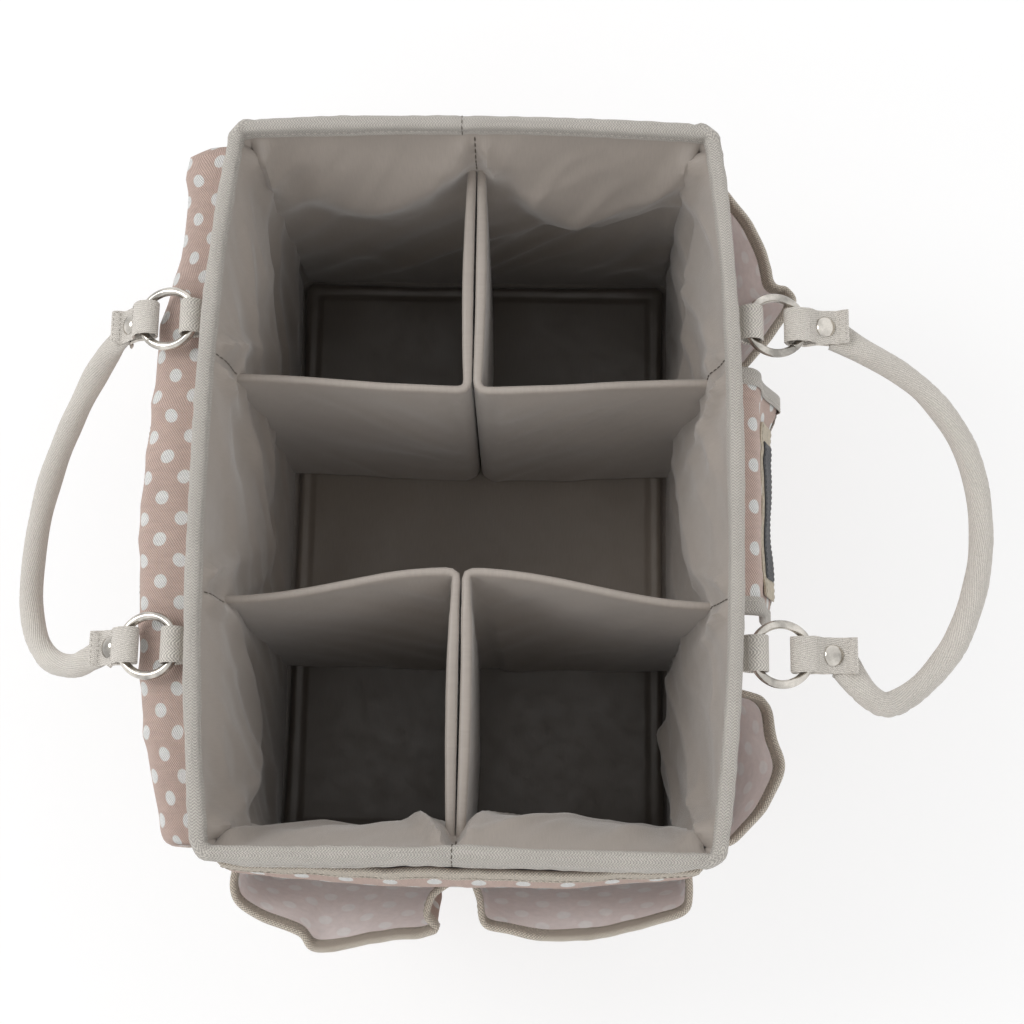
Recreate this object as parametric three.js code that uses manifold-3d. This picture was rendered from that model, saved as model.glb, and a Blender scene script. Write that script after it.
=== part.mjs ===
// Craft organizer tote: an open-topped fabric box with stiffened walls, four sewn-in L-shaped
// dividers, pockets on three sides and two stuffed handles hung on metal rings.
// Millimetres. +X is right, +Y is back, +Z is up. The origin is the middle of the underside.
import * as THREE from 'three';
import { mergeVertices } from 'three/addons/utils/BufferGeometryUtils.js';
import Module from 'manifold-3d';

// Running gap between neighbouring layers of cloth and board
const clearance = 0.3;

// The box inside: clear width and length at the floor, and depth from floor to rim
const insideWidth = 256;
const insideLength = 388;
const insideDepth = 235;
const cornerRadius = 5;
// Stuffed with air and use, the walls lean and bow out towards the rim
const rimFlare = 4.5;
const longWallBow = 11;
const longBowPower = 2.5;
const backWallBow = 4;
const frontWallPinch = 2;

// Layers of the walls and the base
const liningThickness = 0.8;
const boardThickness = 1.6;
const shellThickness = 1.2;
const baseThickness = 1.6;
const baseBoardThickness = 2.5;
const padThickness = 5;
const padMargin = 0.6;

// Webbing folded over the top edge of the walls
const rimLeg = 1.2;
const rimFold = 1.5;
const rimDrop = 11;
const rimRound = 1.1;

// L-shaped dividers: a cloth sleeve over two boards each, open below
const dividerThickness = 3.6;
const dividerCloth = 0.7;
const dividerDrop = 55;
const dividerHem = 2.2;
const dividerBoardHem = 5;
const dividerBoardInset = 2;
const finSpacing = 5.4;
const finBelly = 1.8;
const cornerChamfer = 3;
// Where the dividers stand: distance from the middle, at their foot and at their top
const backCrossFoot = 56;
const backCrossTop = 69;
const backCrossSag = 6;
const backFinX = 0;
const frontCrossFoot = 76;
const frontCrossTop = 61;
const frontCrossSag = 18;
const frontFinX = -4;

// Pocket cloth and the twill tape that binds the pocket mouths
const pocketCloth = 1.2;
const tapeThickness = 0.9;
const tapeWidth = 7;
const tapeTuck = 2.5;
const pocketFootZ = 8;

// Front short side: a flat slip pocket, and two bellows pockets on its face
const slipHalfWidth = 127;
const slipMouthDrop = 18;
const slipEndOut = 5;
const slipMiddleOut = 12;
const slipFootShare = 0.35;
const bellowsMouthDrop = 55;
const frontLeftDepth = 40;
const frontRightDepth = 31;

// Right long side: two open pockets, and a closed one under a flap
const sideMouthDrop = 50;
const rightBackDepth = 43;
const rightFrontDepth = 34;
const rightMiddleDepth = 14;
const middleMouthDrop = 47;
const flapSeamDrop = 23;
const flapWidth = 132;
const flapMiddleY = 2;
const flapCloth = 1.4;
const flapPivotOut = 1.45;
const flapEdge = 0.8;
// The full middle pocket pushes the flap out below its bend; below that it hangs straight
const flapBendOut = 15;
const flapOut = 25.3;
const flapSlant = 17.4;
const flapSlantTop = 29.5;
const flapSlantFoot = 57.2;
const flapLength = 72;
const flapTapeWidth = 9;
const labelLength = 101;
const labelHeight = 27;
const labelThickness = 1.4;
const patchLength = 80;
const patchHeight = 17;
const patchThickness = 0.9;
const labelMiddleY = -4;
const labelDrop = 67;

// Left long side: a long pocket under a boxed cover
const longMouthDrop = 54;
const leftDepth = 26.5;
const coverDepth = 38;
const coverSeamDrop = 24;
const coverHemDrop = 85;

// Handle fittings: rings held by webbing tabs sewn to the wall just under the rim
const ringOuter = 37;
const ringWire = 4.8;
const tabSpacing = 184;
const tabDrop = 17;
const tabReach = 11.15;
const tabPlate = 1.6;
const tabSeat = 0.85;
const tabPlateUp = 5;
const tabPlateDown = 4.5;
const tabNeck = 3.6;
const strapWidth = 20;
const strapThickness = 1.6;
const loopPlay = 0.5;

// Stuffed handles
const handleDiameter = 13;
const handleCloth = 1.5;
const coreClearance = 0.5;
const strapLength = 26;
const tubeTuck = 5;
const leftReach = 114;
const rightReach = 101;
const strapTaperAt = 7;
const strapTaperIn = 1.2;
const strapWaist = 2.3;
const strapSlot = 0.6;
const strapSlotShort = 3;
const rivetAt = 14;
const rivetHead = 11.5;
const rivetShank = 3.2;
const rivetDome = 2.2;
const rivetWasher = 9;
const rivetPlay = 0.3;
const rivetSeat = 12.4;

// How the rings and handles lie, in degrees below level
const leftRingTilt = 12;
const leftHandleTilt = 46.5;
const rightRingTilt = 8;
const rightHandleTilt = 8;

// Heights of the layers
const boardZ = baseThickness + clearance;
const wallFootZ = boardZ + baseBoardThickness + clearance;
const liningFloorZ = wallFootZ + liningThickness;
const padZ = liningFloorZ + clearance;
const floorZ = padZ + padThickness;
const rimTopZ = floorZ + insideDepth;
const wallTopZ = rimTopZ - rimFold - clearance;
const rimFootZ = rimTopZ - rimDrop;

// Distances of the layers from the inside face of the wall
const boardIn = liningThickness + clearance;
const boardOut = boardIn + boardThickness;
const shellIn = boardOut + clearance;
const shellOut = shellIn + shellThickness;

const radians = THREE.MathUtils.degToRad;

const wasm = await Module();
wasm.setup();

// Share of the full height, which the lean and the bow of the walls follow
const rise = (z) => z / rimTopZ;

// Half of a wall's straight run between the rounded corners
const straight = (inside, z) => inside / 2 - cornerRadius + rimFlare * rise(z);

// Distance of a long wall's surface from the middle plane, and the same for a short wall
function longWall(y, z, out) {
  const share = Math.min(1, Math.abs(y) / straight(insideLength, z));
  const bow = longWallBow * rise(z) * (1 - share ** longBowPower);
  return insideWidth / 2 + rimFlare * rise(z) + bow + out;
}

function shortWall(x, z, out, side) {
  const share = Math.min(1, Math.abs(x) / straight(insideWidth, z));
  const back = backWallBow * (1 - share ** 2);
  const front = -frontWallPinch * (1 - share) ** 2;
  return insideLength / 2 + rise(z) * (rimFlare + (side > 0 ? back : front)) + out;
}

// The steps in which the plan is drawn, along the walls, round the corners and up the walls
const longSteps = 12;
const shortSteps = 6;
const cornerSteps = 3;
const heightSteps = 3;
// A wall's flat facets stand out from its smooth surface by no more than this
const facetPlay = 0.25;
const faceOut = shellOut + facetPlay;

// A point at a distance out from the outside face of a wall
function onWall(wall, along, out, z) {
  if (wall === 'right') return new THREE.Vector3(longWall(along, z, faceOut + out), along, z);
  if (wall === 'left') return new THREE.Vector3(-longWall(along, z, faceOut + out), along, z);
  return new THREE.Vector3(along, -shortWall(along, z, faceOut + out, -1), z);
}

// The same point, pushed off the wall where it lies closer than least
function keepOff(wall, point, least) {
  const { x, y, z } = point;
  if (wall === 'right') return new THREE.Vector3(Math.max(x, longWall(y, z, faceOut + least)), y, z);
  if (wall === 'left') return new THREE.Vector3(Math.min(x, -longWall(y, z, faceOut + least)), y, z);
  return new THREE.Vector3(x, Math.min(y, -shortWall(x, z, faceOut + least, -1)), z);
}

// The plan of the box at one height, as a loop of points, a distance out from the inside face
function outline(z, out) {
  const halfX = straight(insideWidth, z);
  const halfY = straight(insideLength, z);
  const loop = [];
  const corner = (signX, signY, start) => {
    for (let i = 1; i < cornerSteps; i++) {
      const angle = radians(start + (90 * i) / cornerSteps);
      const x = signX * halfX + (cornerRadius + out) * Math.cos(angle);
      loop.push(new THREE.Vector3(x, signY * halfY + (cornerRadius + out) * Math.sin(angle), z));
    }
  };
  for (let i = 0; i <= longSteps; i++) {
    const y = halfY * (-1 + (2 * i) / longSteps);
    loop.push(new THREE.Vector3(longWall(y, z, out), y, z));
  }
  corner(1, 1, 0);
  for (let i = 0; i <= shortSteps; i++) {
    const x = halfX * (1 - (2 * i) / shortSteps);
    loop.push(new THREE.Vector3(x, shortWall(x, z, out, 1), z));
  }
  corner(-1, 1, 90);
  for (let i = 0; i <= longSteps; i++) {
    const y = halfY * (1 - (2 * i) / longSteps);
    loop.push(new THREE.Vector3(-longWall(y, z, out), y, z));
  }
  corner(-1, -1, 180);
  for (let i = 0; i <= shortSteps; i++) {
    const x = halfX * (-1 + (2 * i) / shortSteps);
    loop.push(new THREE.Vector3(x, -shortWall(x, z, out, -1), z));
  }
  corner(1, -1, 270);
  return loop;
}

const nudge = 1e-5;

// The triangles that close a flat loop, wound the way the loop runs
function loopFace(loop) {
  const normal = new THREE.Vector3();
  loop.forEach((p, i) => {
    const q = loop[(i + 1) % loop.length];
    normal.x += (p.y - q.y) * (p.z + q.z);
    normal.y += (p.z - q.z) * (p.x + q.x);
    normal.z += (p.x - q.x) * (p.y + q.y);
  });
  const size = [Math.abs(normal.x), Math.abs(normal.y), Math.abs(normal.z)];
  const drop = size.indexOf(Math.max(...size));
  // A hair's nudge keeps the points that lie in a straight line
  const flat = loop.map((p, i) => {
    const [u, v] = p.toArray().filter((value, axis) => axis !== drop);
    return new THREE.Vector2(u + nudge * Math.sin(i), v + nudge * Math.cos(i));
  });
  const sameWay = THREE.ShapeUtils.area(flat) > 0;
  return THREE.ShapeUtils.triangulateShape(flat, []).map(([a, b, c]) => {
    const turn = THREE.ShapeUtils.area([flat[a], flat[b], flat[c]]) > 0;
    return turn === sameWay ? [a, b, c] : [c, b, a];
  });
}

// Which diagonal splits a bent patch: the one that lies farther from the middle of the box, so
// that neighbouring layers all fold the same way
function splitsFirst(points, p, q, r, s) {
  const reach = (a, b) => Math.hypot(points[a].x + points[b].x, points[a].y + points[b].y);
  return reach(p, r) > reach(q, s);
}

// A closed body through a row of loops that all have the same number of points
function skin(loops, joined = false) {
  const count = loops[0].length;
  const points = loops.flat();
  const index = [];
  const bands = joined ? loops.length : loops.length - 1;
  for (let i = 0; i < bands; i++) {
    const a = i * count;
    const b = ((i + 1) % loops.length) * count;
    for (let k = 0; k < count; k++) {
      const n = (k + 1) % count;
      if (splitsFirst(points, a + k, a + n, b + n, b + k)) {
        index.push(a + k, a + n, b + n, a + k, b + n, b + k);
      } else {
        index.push(a + k, a + n, b + k, a + n, b + n, b + k);
      }
    }
  }
  if (!joined) {
    const last = (loops.length - 1) * count;
    loopFace(loops[0]).forEach(([a, b, c]) => index.push(c, b, a));
    loopFace(loops[loops.length - 1]).forEach(([a, b, c]) => index.push(last + a, last + b, last + c));
  }
  return facingOut(points.flatMap((p) => [p.x, p.y, p.z]), index);
}

// A geometry whose faces point out: it is turned round where its volume comes out negative
function facingOut(points, index) {
  const at = (i) => new THREE.Vector3(points[3 * i], points[3 * i + 1], points[3 * i + 2]);
  let volume = 0;
  for (let i = 0; i < index.length; i += 3) {
    volume += at(index[i]).dot(at(index[i + 1]).cross(at(index[i + 2])));
  }
  if (volume < 0) index.reverse();
  const geometry = new THREE.BufferGeometry();
  geometry.setAttribute('position', new THREE.Float32BufferAttribute(points, 3));
  geometry.setIndex(index);
  geometry.computeVertexNormals();
  return geometry;
}

// Cloth of even thickness behind a grid of outside points
function cloth(grid, thickness, settle = (p) => p) {
  const rows = grid.length;
  const cols = grid[0].length;
  const step = (i, limit) => [Math.max(0, i - 1), Math.min(limit - 1, i + 1)];
  const normals = grid.map((row, i) => row.map((point, j) => {
    const [i0, i1] = step(i, rows);
    const [j0, j1] = step(j, cols);
    const across = grid[i1][j].clone().sub(grid[i0][j]);
    const up = grid[i][j1].clone().sub(grid[i][j0]);
    return across.cross(up).normalize();
  }));
  const inner = grid.map((row, i) => row.map((point, j) => (
    settle(point.clone().addScaledVector(normals[i][j], -thickness))
  )));
  const loops = grid.map((row, i) => [...row, ...[...inner[i]].reverse()]);
  return { body: skin(loops), grid, inner, normals, settle };
}

// Folded tape round an edge of cloth: points on the edge, with the way into the cloth at each
function tape(edge, thickness, width, settle = (p) => p) {
  const inside = thickness / 2 + clearance;
  const outside = inside + tapeThickness;
  const lip = clearance + tapeThickness;
  const section = [
    [-outside, width], [-outside, -lip], [outside, -lip], [outside, width],
    [inside, width], [inside, -clearance], [-inside, -clearance], [-inside, width],
  ];
  return skin(edge.map(({ point, normal, into }) => section.map(([n, s]) => (
    settle(point.clone().addScaledVector(normal, n).addScaledVector(into, s))
  ))));
}

// The tape on the mouth or on the hem of a cloth panel
function edgeTape(panel, atMouth) {
  const last = panel.grid[0].length - 1;
  const j = atMouth ? last : 0;
  const next = atMouth ? last - 1 : 1;
  const edge = panel.grid.map((row, i) => ({
    point: row[j].clone().add(panel.inner[i][j]).multiplyScalar(0.5),
    normal: panel.normals[i][j],
    into: row[next].clone().sub(row[j]).normalize(),
  }));
  // The tape's ends are tucked into the seams
  for (const [at, beside] of [[0, 1], [edge.length - 1, edge.length - 2]]) {
    const way = edge[beside].point.clone().sub(edge[at].point).normalize();
    edge[at].point.addScaledVector(way, tapeTuck);
  }
  return tape(edge, pocketCloth, tapeWidth, panel.settle);
}

// A pocket panel. plan is its line at the mouth, seen from above, as [share of the half wall,
// share of the depth]; each level is [share of the height, share of the depth]; ground is the
// height of the face that the pocket is sewn to, above the wall.
function pocket(shape) {
  const { wall, footZ = pocketFootZ, mouthZ, depth, plan, levels, rounded = true } = shape;
  const ground = shape.ground ?? (() => 0);
  const halfWall = (wall === 'front' ? insideWidth : insideLength) / 2;
  const fullDepth = depth - clearance;
  const points = plan.map(([along, out]) => new THREE.Vector3(along * halfWall, out * fullDepth, 0));
  const samples = rounded ? new THREE.CatmullRomCurve3(points).getSpacedPoints(plan.length + 3) : points;
  const grid = samples.map(({ x: along, y: out }) => levels.map(([height, share]) => {
    const z = footZ + (mouthZ - footZ) * height;
    return onWall(wall, along, ground(along, z) + clearance + out * share, z);
  }));
  if (wall === 'left') grid.reverse();
  const seated = (p) => keepOff(wall, p, ground(wall === 'front' ? p.x : p.y, p.z) + clearance);
  return cloth(grid, pocketCloth, seated);
}

function addPocket(name, shape) {
  const panel = pocket(shape);
  addPiece(name + '_pocket', panel.body, 'dottedTwill');
  if (shape.bound ?? true) addPiece(name + '_tape', edgeTape(panel, true), 'twillTape');
}

const tote = new THREE.Group();

function finish(colour, roughness, metalness = 0) {
  return new THREE.MeshStandardMaterial({ color: colour, roughness, metalness });
}

const finishes = {
  dottedTwill: () => finish(0xbfa59b, 0.85),
  liningSatin: () => finish(0xa59e97, 0.6),
  greyWebbing: () => finish(0xc5beb6, 0.85),
  twillTape: () => finish(0x9a9084, 0.85),
  board: () => finish(0x8f8b85, 0.7),
  nickel: () => finish(0xc9c6c0, 0.25, 1),
  creamLabel: () => finish(0xe6d3b4, 0.75),
  darkPatch: () => finish(0x4a4d4c, 0.85),
  handleCore: () => finish(0xdedbd2, 0.9),
};

function addPiece(name, geometry, material, parent = tote) {
  const piece = new THREE.Mesh(geometry, finishes[material]());
  piece.name = name;
  parent.add(piece);
  return piece;
}

// Merge the corners of a geometry, so that only its shape is left
function bare(geometry) {
  const copy = geometry.clone();
  copy.deleteAttribute('normal');
  copy.deleteAttribute('uv');
  return mergeVertices(copy, 1e-4);
}

function toSolid(geometry) {
  const merged = bare(geometry);
  return new wasm.Manifold(new wasm.Mesh({
    numProp: 3,
    vertProperties: merged.attributes.position.array,
    triVerts: new Uint32Array(merged.index.array),
  }));
}

function toGeometry(solid) {
  const mesh = solid.getMesh();
  return facingOut([...mesh.vertProperties], [...mesh.triVerts]);
}

// Even levels from one height to another
function heights(from, to, steps = heightSteps) {
  return Array.from({ length: steps + 1 }, (_, i) => from + ((to - from) * i) / steps);
}

// Base and lining: an outer base panel, a stiff board, the lining's floor and a quilted pad
function slab(z0, z1, out) {
  return skin([outline(z0, out), outline(z1, out)]);
}

addPiece('base_panel', slab(0, baseThickness, shellOut), 'greyWebbing');
addPiece('base_board', slab(boardZ, boardZ + baseBoardThickness, boardOut), 'board');
addPiece('floor_pad', slab(padZ, floorZ, -padMargin), 'liningSatin');
addPiece('lining', skin([
  ...heights(wallFootZ, wallTopZ).map((z) => outline(z, liningThickness)),
  ...heights(wallTopZ, liningFloorZ).map((z) => outline(z, 0)),
]), 'liningSatin');

// Outer shell: one band of dotted cloth round the four walls
addPiece('outer_shell', skin([
  ...heights(boardZ, wallTopZ).map((z) => outline(z, shellOut)),
  ...heights(wallTopZ, boardZ).map((z) => outline(z, shellIn)),
], true), 'dottedTwill');

// Wall boards: one in each long wall, and two in each short wall with a fold line between
function wallBoard(from, to, steps, point, spread = () => 1) {
  const loops = [];
  for (let i = 0; i <= steps; i++) {
    const along = from + ((to - from) * i) / steps;
    loops.push([
      ...heights(wallFootZ, wallTopZ).map((z) => point(along * spread(z), z, boardOut)),
      ...heights(wallTopZ, wallFootZ).map((z) => point(along * spread(z), z, boardIn)),
    ]);
  }
  return skin(loops);
}

const boardHalfLength = straight(insideLength, 0);
const boardHalfWidth = straight(insideWidth, 0);
for (const [side, sign] of [['left', -1], ['right', 1]]) {
  const longBoard = (y, z, out) => new THREE.Vector3(sign * longWall(y, z, out), y, z);
  const spread = (z) => straight(insideLength, z) / boardHalfLength;
  const board = wallBoard(-boardHalfLength, boardHalfLength, longSteps, longBoard, spread);
  addPiece(side + '_wall_board', board, 'board');
  for (const [end, facing] of [['back', 1], ['front', -1]]) {
    const shortBoard = (x, z, out) => new THREE.Vector3(sign * x, facing * shortWall(x, z, out, facing), z);
    const half = wallBoard(boardThickness / 2, boardHalfWidth, shortSteps / 2, shortBoard);
    addPiece(end + '_board_' + side, half, 'board');
  }
}

// Rim: webbing folded over the top edge of all the wall layers
const rimSection = [
  [-rimLeg - clearance, rimFootZ], [-rimLeg - clearance, rimTopZ - rimRound],
  [-rimLeg - clearance + rimRound, rimTopZ], [shellOut + clearance + rimLeg - rimRound, rimTopZ],
  [shellOut + clearance + rimLeg, rimTopZ - rimRound], [shellOut + clearance + rimLeg, rimFootZ],
  [shellOut + clearance, rimFootZ], [shellOut + clearance, wallTopZ + clearance],
  [-clearance, wallTopZ + clearance], [-clearance, rimFootZ],
];
const rimRuns = rimSection.map(([out, z]) => outline(z, out));
addPiece('rim_binding', skin(rimRuns[0].map((_, i) => rimRuns.map((run) => run[i])), true), 'greyWebbing');

// Dividers. A divider's line in plan, at one height: from a long wall to the middle, round a
// chamfered corner and along to a short wall.
const dividerTopZ = rimTopZ - dividerDrop;
const dividerFootZ = floorZ + dividerHem;

function dividerLine(side, end, z) {
  const share = (z - dividerFootZ) / (dividerTopZ - dividerFootZ);
  const back = end > 0;
  const foot = back ? backCrossFoot : frontCrossFoot;
  const top = back ? backCrossTop : frontCrossTop;
  const sag = back ? backCrossSag : frontCrossSag;
  const finX = (back ? backFinX : frontFinX) + (side * finSpacing) / 2;
  const wallY = end * (foot + (top - foot) * share);
  const cornerY = wallY + (back ? -1 : 1) * sag * (back ? (1 + share) / 2 : share);
  const wallX = side * (longWall(wallY, z, 0) - clearance);
  const run = (t) => {
    const eased = (1 - Math.cos(Math.PI * t)) / 2;
    return new THREE.Vector3(wallX + (finX - wallX) * t, wallY + (cornerY - wallY) * eased, z);
  };
  const endY = end * (shortWall(finX, z, 0, end) - clearance);
  const fin = (t) => new THREE.Vector3(
    finX + side * finBelly * Math.sin(Math.PI * t),
    cornerY + (endY - cornerY) * t,
    z,
  );
  const crossLength = Math.abs(finX - wallX);
  const finLength = Math.abs(endY - cornerY);
  return [
    run(0), run(1 / 3), run(2 / 3), run(1 - cornerChamfer / crossLength),
    fin(cornerChamfer / finLength), fin(1 / 3), fin(2 / 3), fin(1),
  ];
}

// The same line moved sideways, with its corners mitred
function besideLine(line, shift) {
  return line.map((point, i) => {
    const before = line[Math.max(0, i - 1)];
    const after = line[Math.min(line.length - 1, i + 1)];
    const first = point.clone().sub(before);
    const second = after.clone().sub(point);
    const a = (i === 0 ? second : first).setZ(0).normalize();
    const b = (i === line.length - 1 ? a : second).clone().setZ(0).normalize();
    const mitre = new THREE.Vector3(-a.y - b.y, a.x + b.x, 0);
    mitre.multiplyScalar(2 / mitre.lengthSq());
    return point.clone().addScaledVector(mitre, shift);
  });
}

function sleeve(lineAt, section) {
  const runs = section.map(([shift, z]) => besideLine(lineAt(z), shift));
  return skin(runs[0].map((_, i) => runs.map((run) => run[i])));
}

const half = dividerThickness / 2;
const innerHalf = half - dividerCloth;
const boardHalf = innerHalf - clearance;
const leg = (shift, from, to) => heights(from, to, 2).map((z) => [shift, z]);
const shoulderZ = dividerTopZ - dividerCloth;
const coverSection = [
  ...leg(-half, dividerFootZ, shoulderZ), [-innerHalf, dividerTopZ],
  [innerHalf, dividerTopZ], ...leg(half, shoulderZ, dividerFootZ),
  ...leg(innerHalf, dividerFootZ, shoulderZ), ...leg(-innerHalf, shoulderZ, dividerFootZ),
];
const dividerBoardTop = shoulderZ - clearance;
const dividerBoardFoot = floorZ + dividerBoardHem;
const boardSection = [
  ...leg(-boardHalf, dividerBoardFoot, dividerBoardTop),
  ...leg(boardHalf, dividerBoardTop, dividerBoardFoot),
];

for (const [end, facing] of [['back', 1], ['front', -1]]) {
  for (const [side, sign] of [['left', -1], ['right', 1]]) {
    const name = 'divider_' + end + '_' + side;
    const line = (z) => dividerLine(sign, facing, z);
    addPiece(name, sleeve(line, coverSection), 'liningSatin');
    // A board stops a little short of the seams at its two ends
    const cornerPoint = 4;
    const shortened = (from, to) => (z) => {
      const part = line(z).slice(from, to);
      const last = part.length - 1;
      const inset = dividerBoardInset;
      const ends = [[0, 1], [last, last - 1]].map(([at, next]) => {
        const way = part[next].clone().sub(part[at]).normalize();
        return part[at].clone().addScaledVector(way, inset);
      });
      return [ends[0], ...part.slice(1, last), ends[1]];
    };
    addPiece(name + '_cross_board', sleeve(shortened(0, cornerPoint), boardSection), 'board');
    addPiece(name + '_fin_board', sleeve(shortened(cornerPoint), boardSection), 'board');
  }
}

// Front pockets
const slipOut = (x) => slipEndOut + (slipMiddleOut - slipEndOut) * (1 - (x / slipHalfWidth) ** 2);
const slipMouthZ = rimTopZ - slipMouthDrop;
const slipShare = (z) => {
  const up = (z - pocketFootZ) / (slipMouthZ - pocketFootZ);
  return slipFootShare + (1 - slipFootShare) * up;
};
addPocket('front_slip', {
  wall: 'front',
  mouthZ: slipMouthZ,
  depth: slipMiddleOut,
  plan: [-1, -0.97, -0.7, -0.35, 0, 0.35, 0.7, 0.97, 1].map((share) => {
    const x = share * slipHalfWidth;
    const out = Math.abs(share) === 1 ? 0 : (slipOut(x) - clearance) / (slipMiddleOut - clearance);
    return [x / (insideWidth / 2), out];
  }),
  levels: [[0, slipFootShare], [1, 1]],
  rounded: false,
});

const bellowsMouthZ = rimTopZ - bellowsMouthDrop;
// A pocket lies flat on the wall from its foot up, and fans out from there to its mouth
const bellowsLevels = [[0, 0.08], [0.5, 0.1], [0.62, 0.18], [0.8, 0.52], [0.955, 0.892], [1, 1]];
const slipFace = (x, z) => 1.5 * clearance + (slipOut(x) - clearance) * slipShare(z);
addPocket('front_left', {
  wall: 'front',
  mouthZ: bellowsMouthZ,
  depth: frontLeftDepth,
  plan: [
    [-0.969, 0], [-0.98, 0.29], [-0.945, 0.47], [-0.836, 0.67], [-0.68, 0.82],
    [-0.594, 1], [-0.352, 0.85], [-0.109, 0.72], [-0.117, 0.47], [-0.086, 0.24],
    [-0.031, 0],
  ],
  levels: bellowsLevels,
  ground: slipFace,
});
addPocket('front_right', {
  wall: 'front',
  mouthZ: bellowsMouthZ,
  depth: frontRightDepth,
  plan: [
    [0.039, 0], [0.07, 0.35], [0.094, 0.77], [0.211, 0.9], [0.383, 1],
    [0.625, 0.97], [0.836, 0.77], [0.945, 0.64], [0.969, 0.38], [0.969, 0],
  ],
  levels: bellowsLevels,
  ground: slipFace,
});

// Right side pockets
const sideMouthZ = rimTopZ - sideMouthDrop;
const sideLevels = [[0, 0.08], [0.5, 0.1], [0.6, 0.18], [0.79, 0.52], [0.955, 0.897], [1, 1]];
addPocket('right_back', {
  wall: 'right',
  mouthZ: sideMouthZ,
  depth: rightBackDepth,
  plan: [
    [0.361, 0], [0.402, 0.31], [0.505, 0.69], [0.598, 1], [0.644, 0.93],
    [0.665, 0.75], [0.763, 0.66], [0.84, 0.51], [0.912, 0.33], [0.969, 0.15],
    [0.979, 0],
  ],
  levels: sideLevels,
});
addPocket('right_front', {
  wall: 'right',
  mouthZ: sideMouthZ,
  depth: rightFrontDepth,
  plan: [
    [-0.985, 0], [-0.985, 0.24], [-0.933, 0.55], [-0.851, 0.86], [-0.773, 1],
    [-0.691, 0.86], [-0.613, 0.75], [-0.577, 0.55], [-0.562, 0.27], [-0.557, 0],
  ],
  levels: sideLevels,
});
addPocket('right_middle', {
  wall: 'right',
  mouthZ: rimTopZ - middleMouthDrop,
  depth: rightMiddleDepth,
  plan: [
    [-0.309, 0], [-0.314, 0.41], [-0.278, 0.79], [-0.144, 0.95], [0.01, 1],
    [0.165, 0.95], [0.299, 0.79], [0.335, 0.41], [0.33, 0],
  ],
  levels: [[0, 0.1], [0.021, 0.45], [0.367, 0.95], [1, 1]],
  bound: false,
});

// Right flap: it hangs from a seam under the rim, over the middle pocket, and lifts about the seam
const flapSeamZ = rimTopZ - flapSeamDrop;
const flapPivotX = longWall(0, flapSeamZ, shellOut + flapPivotOut);
const flap = new THREE.Group();
flap.position.set(flapPivotX, 0, flapSeamZ);
tote.add(flap);

const flapSlantOut = (down) => flapOut - (flapSlantFoot - down) * Math.tan(radians(flapSlant));
const flapSection = [
  [-flapEdge, flapCloth / 2], [0.37 * flapBendOut, -0.008 * flapLength],
  [0.7 * flapBendOut, -0.039 * flapLength], [0.91 * flapBendOut, -0.104 * flapLength],
  [flapBendOut, -0.188 * flapLength], [flapSlantOut(flapSlantTop), -flapSlantTop],
  [flapOut, -flapSlantFoot], [flapOut, -flapLength],
];
const flapStations = [0, 0.12, 0.37, 0.63, 0.88, 1];
const flapGrid = flapStations.map((share) => {
  const y = flapMiddleY + flapWidth * (share - 0.5);
  return flapSection.map(([x, z]) => new THREE.Vector3(x, y, z));
});
const flapPanel = cloth(flapGrid.reverse(), flapCloth);
addPiece('right_flap', flapPanel.body, 'dottedTwill', flap);

// The tape runs down one side of the flap, along its hem and up the other side
function flapRim() {
  const { grid, inner, normals } = flapPanel;
  const lastRow = grid.length - 1;
  const lastCol = grid[0].length - 1;
  const route = [];
  for (let j = 1; j <= lastCol; j++) route.push([0, j]);
  for (let i = 1; i <= lastRow; i++) route.push([i, lastCol]);
  for (let j = lastCol - 1; j >= 1; j--) route.push([lastRow, j]);
  return route.map(([i, j]) => {
    const into = new THREE.Vector3();
    if (i === 0) into.add(grid[1][j].clone().sub(grid[0][j]).normalize());
    if (i === lastRow) into.add(grid[lastRow - 1][j].clone().sub(grid[i][j]).normalize());
    if (j === lastCol) into.add(grid[i][j - 1].clone().sub(grid[i][j]).normalize());
    return { point: grid[i][j].clone().add(inner[i][j]).multiplyScalar(0.5), normal: normals[i][j], into };
  });
}

addPiece('right_flap_tape', tape(flapRim(), flapCloth, flapTapeWidth), 'greyWebbing', flap);

function roundedPlate(length, height, radius, thickness) {
  const shape = new THREE.Shape();
  const x = length / 2;
  const y = height / 2;
  shape.moveTo(-x + radius, -y);
  shape.lineTo(x - radius, -y);
  shape.absarc(x - radius, -y + radius, radius, -Math.PI / 2, 0);
  shape.absarc(x - radius, y - radius, radius, 0, Math.PI / 2);
  shape.absarc(-x + radius, y - radius, radius, Math.PI / 2, Math.PI);
  shape.absarc(-x + radius, -y + radius, radius, Math.PI, 1.5 * Math.PI);
  return new THREE.ExtrudeGeometry(shape, { depth: thickness, bevelEnabled: false, curveSegments: 3 });
}

// Label: a cream strip sewn on the flap's face, with a bare woven patch on it
function labelPiece(name, length, height, thickness, out, material) {
  const slant = radians(flapSlant);
  const middleZ = flapSeamDrop - labelDrop;
  const shape = roundedPlate(length, height, 2, thickness);
  shape.rotateY(Math.PI / 2).rotateX(Math.PI / 2).rotateY(-slant);
  const plate = addPiece(name, shape, material, flap);
  plate.position.set(
    flapSlantOut(-middleZ) + out * Math.cos(slant),
    labelMiddleY,
    middleZ + out * Math.sin(slant),
  );
}

labelPiece('right_label', labelLength, labelHeight, labelThickness, clearance, 'creamLabel');
labelPiece('right_label_patch', patchLength, patchHeight, patchThickness,
  2 * clearance + labelThickness, 'darkPatch');

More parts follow.
